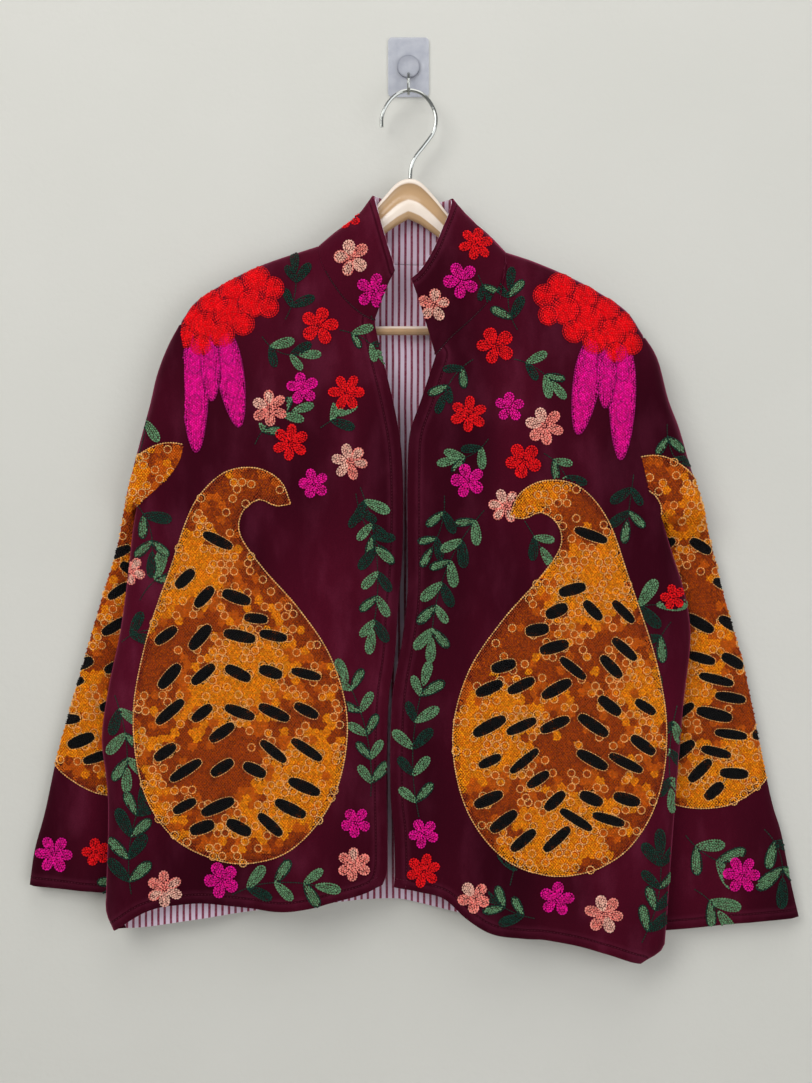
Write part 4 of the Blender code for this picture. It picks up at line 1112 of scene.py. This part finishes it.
PETAL_OUT, PETAL_LONG = 0.60, 0.39
PETAL_WIDE = 1.5  # over the number of petals
PETAL_TAPER = -0.22
KNOT_RADIUS = 0.2  # as a part of the flower's
KNOT = {"height": 1.7, "length": 2.4}
FLOWERS = {
    "collar": [
        (-54, -194, 17, "salmon", 5), (-34, -226, 16, "magenta", 5), (-58, -152, 13, "red", 5),
        (64, -180, 16, "red", 6), (50, -216, 17, "magenta", 5), (24, -240, 15, "salmon", 5),
    ],
    "front_right": [
        # x, z, radius, thread, petals
        (-85, -258, 18, "red", 5), (-101, -318, 15, "magenta", 5), (-59, -322, 17, "red", 6),
        (-132, -337, 17, "salmon", 6), (-112, -370, 17, "red", 6), (-56, -388, 17, "salmon", 6),
        (-90, -409, 14, "magenta", 5), (-50, -730, 14, "magenta", 5), (-52, -770, 16, "salmon", 6),
        (-178, -786, 17, "magenta", 5), (-232, -794, 17, "salmon", 6), (-264, -492, 13, "salmon", 5),
    ],
    "front_left": [
        (83, -277, 18, "red", 5), (57, -343, 17, "red", 6), (96, -336, 14, "magenta", 5),
        (129, -354, 18, "salmon", 6), (109, -387, 17, "red", 5), (56, -406, 16, "magenta", 5),
        (92, -430, 16, "salmon", 6), (14, -741, 14, "magenta", 5), (14, -777, 16, "red", 6),
        (62, -801, 15, "salmon", 5), (141, -804, 16, "magenta", 5), (186, -818, 18, "salmon", 6),
        (252, -517, 12, "red", 5),
    ],
    "sleeve_right": [(-343, -766, 18, "magenta", 6), (-302, -764, 13, "red", 5)],
    "sleeve_left": [(322, -786, 18, "magenta", 6)],
    "back": [
        (-96, -262, 18, "red", 5), (92, -268, 18, "red", 6), (0, -240, 17, "salmon", 6),
        (-42, -330, 15, "magenta", 5), (46, -322, 15, "magenta", 6), (-150, -330, 16, "salmon", 5),
        (146, -338, 16, "salmon", 6), (0, -410, 18, "red", 6), (-60, -770, 16, "salmon", 6),
        (52, -774, 16, "magenta", 5), (0, -740, 15, "red", 5), (-118, -745, 15, "magenta", 6),
        (112, -752, 15, "salmon", 5),
    ],
}


def flower(cloth, x, z, radius, thread, petals):
    start = chance.uniform(0, 2 * math.pi)
    centre = oval(x, z, radius * KNOT_RADIUS, radius * KNOT_RADIUS, 0, 8)
    filled(cloth, centre, thread, start, **KNOT)
    keep_clear(cloth, centre)
    for k in range(petals):
        angle = start + 2 * math.pi * k / petals + chance.uniform(-0.08, 0.08)
        out = radius * PETAL_OUT
        middle = (x + out * math.cos(angle), z + out * math.sin(angle))
        long = radius * PETAL_LONG * chance.uniform(0.92, 1.1)
        wide = radius * PETAL_WIDE / petals * chance.uniform(0.9, 1.08)
        outline = oval(*middle, long, wide, angle, 14, PETAL_TAPER)
        shade = SECOND[thread] if chance.random() < 0.5 else thread
        edge = thread if chance.random() < 0.6 else shade
        filled(cloth, outline, shade, angle, edge=edge, height=1.4)
    keep_clear(cloth, oval(x, z, radius, radius, 0, 12))


# Leaves
# Sprigs of long looped leaves, dark green round a sage middle, in pairs along a stem.

SPRIGS = {
    # x and z of the start, x and z of the end, bend, pairs of leaves, leaf length, thread
    "front_right": [
        (-46, -412, -34, -548, 10, 6, 19, "sage"),
        (-36, -706, -58, -596, -8, 5, 19, "sage"),
        (-112, -776, -126, -650, 12, 5, 22, "forest"),
        (-264, -800, -256, -716, 6, 4, 22, "forest"),
        (-118, -252, -108, -206, -4, 2, 17, "forest"),
        (-66, -262, -30, -282, 4, 2, 15, "sage"),
        (-140, -268, -104, -286, -6, 2, 17, "sage"),
        (-146, -372, -110, -340, 6, 2, 17, "sage"),
        (-50, -418, -28, -468, -4, 2, 18, "forest"),
        (-84, -356, -66, -344, 0, 1, 17, "sage"),
        (-262, -426, -244, -474, 6, 2, 20, "forest"),
        (-256, -520, -226, -492, 4, 1, 24, "sage"),
        (-274, -560, -238, -548, 4, 2, 21, "forest"),
        (-280, -610, -268, -680, 4, 3, 19, "sage"),
        (-168, -800, -88, -790, 8, 3, 20, "sage"),
    ],
    "front_left": [
        (72, -434, 22, -556, -12, 6, 19, "sage"),
        (10, -726, 14, -600, 8, 5, 19, "sage"),
        (96, -790, 92, -664, -10, 5, 22, "forest"),
        (222, -846, 240, -764, -6, 4, 22, "forest"),
        (62, -290, 34, -324, -4, 2, 16, "forest"),
        (104, -262, 96, -222, 4, 2, 17, "forest"),
        (100, -290, 136, -312, 4, 2, 17, "sage"),
        (76, -366, 46, -386, 4, 2, 16, "sage"),
        (128, -380, 152, -410, 4, 2, 17, "sage"),
        (34, -420, 22, -470, 4, 2, 17, "forest"),
        (110, -444, 126, -470, 0, 1, 17, "sage"),
        (196, -532, 236, -524, 2, 1, 26, "sage"),
        (250, -540, 226, -592, -4, 2, 21, "forest"),
        (256, -620, 250, -700, -4, 3, 19, "sage"),
        (214, -400, 208, -444, 0, 2, 18, "forest"),
        (120, -822, 84, -806, 2, 2, 18, "forest"),
    ],
    "sleeve_right": [
        (-250, -724, -286, -800, 8, 3, 21, "forest"), (-250, -330, -262, -392, 4, 2, 18, "sage"),
    ],
    "sleeve_left": [
        (268, -748, 308, -776, -4, 2, 24, "sage"), (344, -742, 362, -790, 6, 2, 24, "forest"),
        (276, -800, 300, -822, 2, 1, 22, "sage"), (246, -352, 258, -392, -4, 2, 17, "forest"),
    ],
    "back": [
        (-30, -264, -78, -316, 6, 3, 19, "sage"), (30, -264, 80, -314, -6, 3, 19, "sage"),
        (-120, -360, -166, -430, 8, 3, 20, "forest"), (118, -364, 164, -434, -8, 3, 20, "forest"),
        (-40, -720, -150, -690, -10, 4, 20, "forest"), (36, -724, 140, -696, 10, 4, 20, "forest"),
        (0, -350, 2, -388, 0, 2, 17, "sage"), (-96, -800, -170, -796, 4, 3, 18, "sage"),
        (92, -806, 168, -806, -4, 3, 18, "sage"),
    ],
    "collar": [(-36, -248, -28, -262, 0, 1, 13, "forest"), (66, -210, 74, -226, 0, 1, 13, "forest")],
}
LEAF_SPREAD, LEAF_SCALE = 0.72, 1.2
LEAF_WIDE, LEAF_TAPER = 0.18, -0.3
STEM = {"width": 1.5, "height": 0.8, "length": 2.8}


def leaf(cloth, x, z, angle, long, thread):
    long = long * LEAF_SCALE
    middle = (x + long / 2 * math.cos(angle), z + long / 2 * math.sin(angle))
    outline = oval(*middle, long / 2, long * LEAF_WIDE, angle, 16, LEAF_TAPER)
    inner = thread if chance.random() < 0.6 else "sage"
    stitches(cloth, grid_in(outline, ROW_GAP, STITCH_GAP, angle), angle, inner, height=1.1)
    chain(cloth, outline, thread, closed=True, height=1.2)
    keep_clear(cloth, outline)


def sprig(cloth, x0, z0, x1, z1, bend, pairs, leaf_length, thread):
    start, end = np.array([x0, z0], float), np.array([x1, z1], float)
    way = end - start
    side = np.array([-way[1], way[0]]) / np.linalg.norm(way)
    t = np.linspace(0, 1, 20)[:, None]
    line = start + way * t + side * bend * 4 * t * (1 - t)
    chain(cloth, line, "forest", **STEM)
    for k in range(pairs):
        place = at_fractions(line, [(k + 0.6) / pairs])[0]
        ahead = at_fractions(line, [min(1, (k + 0.8) / pairs)])[0] - place
        angle = math.atan2(ahead[1], ahead[0])
        for hand in (-1, 1):
            spread = LEAF_SPREAD * hand * chance.uniform(0.75, 1.3)
            tone = thread if hand * (-1) ** k > 0 else "forest"
            leaf(cloth, *place, angle + spread, leaf_length * chance.uniform(0.85, 1.15), tone)
    angle = math.atan2(line[-1, 1] - line[-3, 1], line[-1, 0] - line[-3, 0])
    leaf(cloth, *line[-1], angle, leaf_length, thread)


# Shoulder flowers
# A big half-open flower at each shoulder: overlapping round red petals, and long magenta
# ones that hang below it.

RED_PETALS = [
    # x, z, radius: the right shoulder, nearest the seam first
    (-206, -250, 13), (-188, -236, 14), (-168, -224, 14), (-146, -213, 14), (-130, -222, 11),
    (-212, -268, 11), (-194, -258, 14), (-172, -246, 15), (-150, -236, 14), (-134, -240, 10),
    (-198, -276, 10), (-178, -266, 12), (-158, -256, 11),
]
HANGING_PETALS = [
    # x and z of the top, x and z of the tip, half width
    (-190, -268, -187, -330, 9), (-204, -266, -202, -379, 12.5), (-177, -262, -161, -355, 12.5),
]
HANGING_TAPER = 0.2
PETAL_GROUND = 3.5  # the dyed cloth under a petal stops this far inside its edge
SMALLEST_RING, RING_STEP = 0.8, 2.0
EDGE_HEIGHT, MIDDLE_RISE = 0.9, 0.5  # a red petal's stitches, and what its middle adds
EDGE_WIDE, RING_WIDE = 1.7, 2.5
RED_CLEAR = 1.04  # how much of its radius a red petal keeps clear
BUDS = (0.25, 0.6)  # where small loops lie along a hanging petal
BUD_LONG, BUD_WIDE = 0.8, 0.5  # as parts of the petal's half width
PLUM_LOOP = {"closed": True, "height": 1.5, "width": 1.4}
MAGENTA_CLEAR = 1.2
SHOULDER_DROP = 7  # the left shoulder's flower sits this much lower


def round_petal(cloth, x, z, radius, thread):
    """Rings of chain stitch, higher towards the middle."""
    for size in np.arange(radius, SMALLEST_RING, -RING_STEP):
        height = EDGE_HEIGHT + MIDDLE_RISE * (1 - size / radius)
        shade, width = ("crimson", EDGE_WIDE) if size == radius else (thread, RING_WIDE)
        chain(cloth, oval(x, z, size, size, 0, 16), shade, closed=True, height=height, width=width)
    stain(cloth, oval(x, z, radius, radius, 0, 14), thread, PETAL_GROUND)
    keep_clear(cloth, oval(x, z, radius * RED_CLEAR, radius * RED_CLEAR, 0, 14))


def long_petal(cloth, x0, z0, x1, z1, half):
    angle = math.atan2(z1 - z0, x1 - x0)
    long = math.hypot(x1 - x0, z1 - z0) / 2
    middle = ((x0 + x1) / 2, (z0 + z1) / 2)
    outline = oval(*middle, long, half, angle, 26, HANGING_TAPER)
    stitches(cloth, grid_in(outline, ROW_GAP, STITCH_GAP, angle), angle, "magenta", height=1.1)
    chain(cloth, outline, "plum", closed=True, height=1.5)
    stain(cloth, outline, "magenta", PETAL_GROUND)
    for k in BUDS:
        bud = (x0 + (x1 - x0) * k, z0 + (z1 - z0) * k)
        chain(cloth, oval(*bud, half * BUD_LONG, half * BUD_WIDE, angle, 14), "plum", **PLUM_LOOP)
    clear_of = (long + MAGENTA_CLEAR, half + MAGENTA_CLEAR)
    keep_clear(cloth, oval(*middle, *clear_of, angle, 26, HANGING_TAPER))


def shoulder_flower(cloth, sign, drop):
    for x, z, radius in reversed(RED_PETALS):
        round_petal(cloth, sign * x, z - drop, radius, "red")
    for x0, z0, x1, z1, half in HANGING_PETALS:
        long_petal(cloth, sign * x0, z0 - drop, sign * x1, z1 - drop, half)


# The large motifs
# A great paisley on each front and one on each sleeve, in patches of gold and rust with
# cream rings and black lozenges. They are a plain traditional form.

PAISLEY = [
    # clockwise from the curled tip, for the right front
    (-112, -428), (-122, -406), (-146, -394), (-178, -400), (-206, -432), (-226, -488), (-250, -560),
    (-262, -632), (-252, -700), (-218, -750), (-166, -770), (-112, -756), (-72, -708), (-58, -640),
    (-72, -578), (-104, -528), (-138, -490), (-160, -458), (-158, -436), (-142, -424), (-126, -430),
]
SPINE = [
    (-128, -414), (-176, -424), (-190, -470), (-180, -530), (-164, -600), (-160, -680), (-164, -742),
]
LEFT_MOVED = (-16, -12)
SLEEVE_SCALE, SLEEVE_LEAN = 0.92, math.radians(-12)
HEAD = (-178, -400)  # on a sleeve the paisley turns and scales about its head
COIL = 8.0  # the filling is worked in small coils, this far apart
TONE_WAVES = ((31.0, 47.0, 0.4), (-23.0, 29.0, 2.1), (61.0, -19.0, 4.0))
TONE_CHANCE = 0.75  # how much chance is added to the waves
GOLD_OVER, AMBER_OVER = 0.15, -0.55  # the waves' heights above which a coil has that tone
LOZENGE_ROWS, LOZENGE_ALONG = 33.0, 18.0
LOZENGE_HALF_LONG, LOZENGE_HALF_WIDE = 14.5, 4.3
LOZENGE_SLANT, LOZENGE_TURN = 1.05, 0.18
LOZENGE_LONGER, LOZENGE_WIDER = (0.72, 1.2), (0.85, 1.2)
LOZENGE_JITTER, COIL_JITTER = 2.5, 1.4
BLUNT = 0.6
TRIANGLES = 0.87  # how far apart the rows are where the coils stand in even triangles
RING_RADIUS = 3.6
# the part of the coils that a ring goes round: this much in rust, and so much more elsewhere
RING_PART_RUST, RING_PART = 0.08, 0.34
RING_CLEAR = 0.9  # the threads stay this far off a ring
RING = {"gap": 2.0, "width": 1.7, "height": 2.0, "length": 2.7}
BORDER = 8.0
LOZENGE_EDGE = 2.6  # the black cloth round a lozenge
AMBER_IN, BLACK_IN = 5.0, -1.0  # how far inside a motif's edge the cloth takes its colour
PAISLEY_CLEAR = 0.012  # what it keeps clear outside its edge, as a part of its size


def lozenges_in(outline, spine, edge_line):
    """Slanting black shapes on both sides of a spine, clear of the edge and of each other."""
    made = []
    for place in grid_in(outline, LOZENGE_ALONG, LOZENGE_ROWS, 0.0, LOZENGE_JITTER):
        nearest = int(np.argmin(np.linalg.norm(spine - place, axis=1)))
        way = spine[min(nearest + 2, len(spine) - 1)] - spine[max(nearest - 2, 0)]
        beside = place - spine[nearest]
        hand = np.sign(way[0] * beside[1] - way[1] * beside[0])
        angle = math.atan2(way[1], way[0]) + hand * LOZENGE_SLANT
        angle += chance.uniform(-LOZENGE_TURN, LOZENGE_TURN)
        long = LOZENGE_HALF_LONG * chance.uniform(*LOZENGE_LONGER)
        wide = LOZENGE_HALF_WIDE * chance.uniform(*LOZENGE_WIDER)
        shape = oval(*place, long, wide, angle, 20, 0.0, BLUNT)
        grown = oval(*place, long + LOZENGE_EDGE, wide + LOZENGE_EDGE, angle, 20, 0.0, BLUNT)
        if distance_to(shape, edge_line).min() < BORDER or not inside(shape, outline).all():
            continue
        if any(inside(shape, other).any() or inside(grown, other).any() for *_, other in made):
            continue
        made.append((shape, angle, grown))
    return made


def paisley(cloth, outline, spine):
    """Lozenges first, then rings round some of the coils, and then the coils' own threads."""
    outline = spline(outline + outline[:1], 160)[:-1]
    spine = spline(spine, 60)
    edge_line = np.vstack([outline, outline[:1]])
    lozenges = lozenges_in(outline, spine, edge_line)
    for shape, angle, grown in lozenges:
        between = (grown + shape) / 2
        filled(cloth, shape, "black", angle, height=1.5, width=2.4)
        chain(cloth, between, "cream", closed=True, width=1.2, height=1.3)
        keep_clear(cloth, between)
    coils = grid_in(outline, COIL * TRIANGLES, COIL, 0.0, COIL_JITTER)
    wave = sum(np.sin(coils[:, 0] / a + coils[:, 1] / b + c) for a, b, c in TONE_WAVES)
    wave = wave + chance.normal(0, TONE_CHANCE, len(coils))
    tone_of = np.where(wave > GOLD_OVER, 0, np.where(wave > AMBER_OVER, 1, 2))
    ringed = chance.random(len(coils)) < RING_PART * (tone_of < 2) + RING_PART_RUST
    for centre in coils[ringed]:
        chain(cloth, oval(*centre, RING_RADIUS, RING_RADIUS, 0, 12), "cream", closed=True, **RING)
    places = grid_in(outline, ROW_GAP, STITCH_GAP)
    tree = KDTree(len(coils))
    for k, (x, z) in enumerate(coils.tolist()):
        tree.insert((x, 0, z), k)
    tree.balance()
    coil_of = np.array([tree.find((x, 0, z))[1] for x, z in places.tolist()])
    arm = places - coils[coil_of]
    swirl = np.arctan2(arm[:, 1], arm[:, 0]) + math.pi / 2
    from_ring = np.abs(np.linalg.norm(arm, axis=1) - RING_RADIUS)
    room = ~ringed[coil_of] | (from_ring > RING_CLEAR)
    for number, thread in enumerate(("gold", "amber", "rust")):
        chosen = (tone_of[coil_of] == number) & room
        stitches(cloth, places[chosen], swirl[chosen], thread, height=1.25, width=2.2)
    stain(cloth, outline, "amber", AMBER_IN)
    for *_, grown in lozenges:
        stain(cloth, grown, "black", BLACK_IN)
    chain(cloth, outline, "cream", closed=True, width=1.8, height=1.5)
    keep_clear(cloth, outline + (outline - outline.mean(axis=0)) * PAISLEY_CLEAR)


def on_left_front(points):
    return [(LEFT_MOVED[0] - x, LEFT_MOVED[1] + z) for x, z in points]


def on_sleeve(points, sign, x, z):
    moved = turn(np.array(points) - HEAD, SLEEVE_LEAN) * SLEEVE_SCALE
    return [(sign * (dx + x), dz + z) for dx, dz in moved.tolist()]


paisley("front_right", PAISLEY, SPINE)
paisley("front_left", on_left_front(PAISLEY), on_left_front(SPINE))
for cloth, sign, x, z in (("sleeve_right", 1, -240, -372), ("sleeve_left", -1, -246, -384)):
    paisley(cloth, on_sleeve(PAISLEY, sign, x, z), on_sleeve(SPINE, sign, x, z))
shoulder_flower("front_right", 1, 0)
shoulder_flower("front_left", -1, SHOULDER_DROP)
for cloth, rows in FLOWERS.items():
    for row in rows:
        flower(cloth, *row)
for cloth, rows in SPRIGS.items():
    for row in rows:
        sprig(cloth, *row)

# Topstitching
# Rows of fine wine thread beside the front edges, the hem, the cuffs and the collar's top.

TOPSTITCH = {"gap": 3.1, "length": 2.5, "width": 0.7, "height": 0.35}
NECK_SEAM = {"gap": 2.6, "length": 3.4, "width": 2.4, "height": 0.5}
NECK_SEAM_LIFT = 0.5
PLACKET, HEM_TURN, CUFF_TURN, COLLAR_TURN = 11.0, 8.5, 8.0, 4.5
COLLAR_FRONT = -30.0  # the collar's stitches are sewn where its edge lies in front of this


def beside_line(line, distance):
    """A line moved sideways, to the left of its own way when the distance is positive."""
    line = np.asarray(line, float)
    way = np.gradient(line, axis=0)
    way /= np.linalg.norm(way, axis=1, keepdims=True)
    return line + np.stack([-way[:, 1], way[:, 0]], axis=1) * distance


collar_top = high[high[:, 1] < COLLAR_FRONT]
seams = {
    # line, how far in the stitches are, which side of the line they lie on
    "front_right": [(spline(EDGE_RIGHT, 300), PLACKET, -1), (spline(HEM_RIGHT, 200), HEM_TURN, -1)],
    "front_left": [(spline(EDGE_LEFT, 300), PLACKET, 1), (spline(HEM_LEFT, 200), HEM_TURN, 1)],
    "back": [(spline(BACK_HEM, 300), HEM_TURN, 1)],
    "sleeve_right": [(spline([SLEEVE_OUT_RIGHT[-1], SLEEVE_IN_RIGHT[-1]], 40), CUFF_TURN, 1)],
    "sleeve_left": [(spline([SLEEVE_OUT_LEFT[-1], SLEEVE_IN_LEFT[-1]], 40), CUFF_TURN, -1)],
    "collar": [(collar_top[collar_top[:, 0] * side > 0], COLLAR_TURN, side) for side in (-1, 1)],
}
# Along the neck seam, a row of stitches in the velvet's darkest colour: painted shade in the seam
for side in (-1, 1):
    neck_line = foot[(foot[:, 1] < HANG_Y) & (foot[:, 0] * side > 0)][:, [0, 2]]
    chain("collar", neck_line + (0, NECK_SEAM_LIFT), "shade", **NECK_SEAM)
chain("back", foot[foot[:, 1] > HANG_Y][:, [0, 2]] - (0, NECK_SEAM_LIFT), "shade", **NECK_SEAM)
for cloth, rows in seams.items():
    for line, offset, hand in rows:
        flat_line = line[:, [0, 2]] if line.shape[1] == 3 else line
        chain(cloth, beside_line(flat_line, hand * offset), "wine", **TOPSTITCH)

# The stitches on the cloth
# Each one is laid on the face of its cloth, and all those of a piece make one mesh.

thread_paint = Paint("thread", (0.8, 0.4, 0.3), 0.62, Specular_IOR_Level=0.25)
tone = thread_paint.node("ShaderNodeAttribute", {"attribute_name": "thread"}, {}, "Color")
worn = thread_paint.noise(1.1, 3)
thread_paint.set("Base Color", thread_paint.mix(worn.ramp(0.5, 0.95) * 0.2, tone, (0.05, 0.0, 0.02)))
thread_paint.set("Roughness", worn * 0.3 + 0.45)
thread_paint.bump(thread_paint.noise(0.8, 2), 0.25)
STITCH_POINTS = np.array([
    # along, across and up, in parts of the stitch's length, width and height
    (-0.5, 0, 0), (0.5, 0, 0), (0.08, 0.5, 0), (0.08, -0.5, 0), (-0.2, 0, 1), (0.28, 0, 0.85),
])
STITCH_FACES = np.array([
    (0, 3, 4), (3, 5, 4), (3, 1, 5), (0, 4, 2), (2, 4, 5), (2, 5, 1), (0, 2, 1), (0, 1, 3),
])
RAY_START = 300.0
STEEPEST = 0.35  # no stitch where the cloth turns away more than this part of facing
FAR = 99.0  # more than any real distance from a row of topstitching
GROUND_FACING = 0.2  # the dyed ground ends where the cloth turns away more than this


def sew(cloth):
    """Makes the mesh of a cloth's stitches."""
    piece, look = CLOTHS[cloth]
    rows = np.vstack(sewn[cloth])
    tree = BVHTree.FromObject(piece, bpy.context.evaluated_depsgraph_get())
    points, colours = [], []
    for x, z, angle, long, wide, high, *colour in rows.tolist():
        start = (x * MM, look * RAY_START * MM, z * MM)
        hit, normal, *_ = tree.ray_cast(start, (0, -look, 0))
        if hit is None or normal.y * look < STEEPEST:
            continue
        up = np.array(normal)
        way = np.array([math.cos(angle), 0, math.sin(angle)])
        way -= up * (way @ up)
        way /= np.linalg.norm(way)
        side = np.cross(up, way)
        axes = np.stack([way * long, side * wide, up * high])
        points.append(STITCH_POINTS @ axes + np.array(hit) / MM)
        colours.append(colour)
    count, corners = len(points), len(STITCH_POINTS)
    faces = (STITCH_FACES[None] + corners * np.arange(count)[:, None, None]).reshape(-1, 3)
    work = mesh_piece("embroidery_" + cloth, np.concatenate(points), faces.tolist())
    opaque = np.hstack([colours, np.ones((count, 1))])
    label_points(work, "thread", np.repeat(opaque, corners, axis=0))
    wear(work, thread_paint, slot="velvet")


def of_points(piece, field):
    values = np.zeros(len(piece.data.vertices) * 3, np.float32)
    piece.data.vertices.foreach_get(field, values)
    return values.reshape(-1, 3)


for cloth, (piece, look) in CLOTHS.items():
    where = of_points(piece, "co") / MM
    faces_out = of_points(piece, "normal")[:, 1] * look > GROUND_FACING
    colours = np.zeros((len(where), 4))
    plan = where[:, [0, 2]]
    for outline, margin, colour in grounds[cloth]:
        low, high = outline.min(axis=0), outline.max(axis=0)
        near = np.nonzero(((plan > low) & (plan < high)).all(axis=1) & faces_out)[0]
        near = near[inside(plan[near], outline)]
        if len(near):
            room = distance_to(plan[near], np.vstack([outline, outline[:1]]))
            colours[near[room > margin]] = (*colour, 1)
    label_points(piece, "ground", colours)
    far = np.full(len(plan), FAR)
    for line, offset, hand in seams[cloth]:
        at = where if line.shape[1] == 3 else plan
        far = np.minimum(far, distance_to(at, line[::2]) - offset)
    label_points(piece, "rim", far)
    sew(cloth)
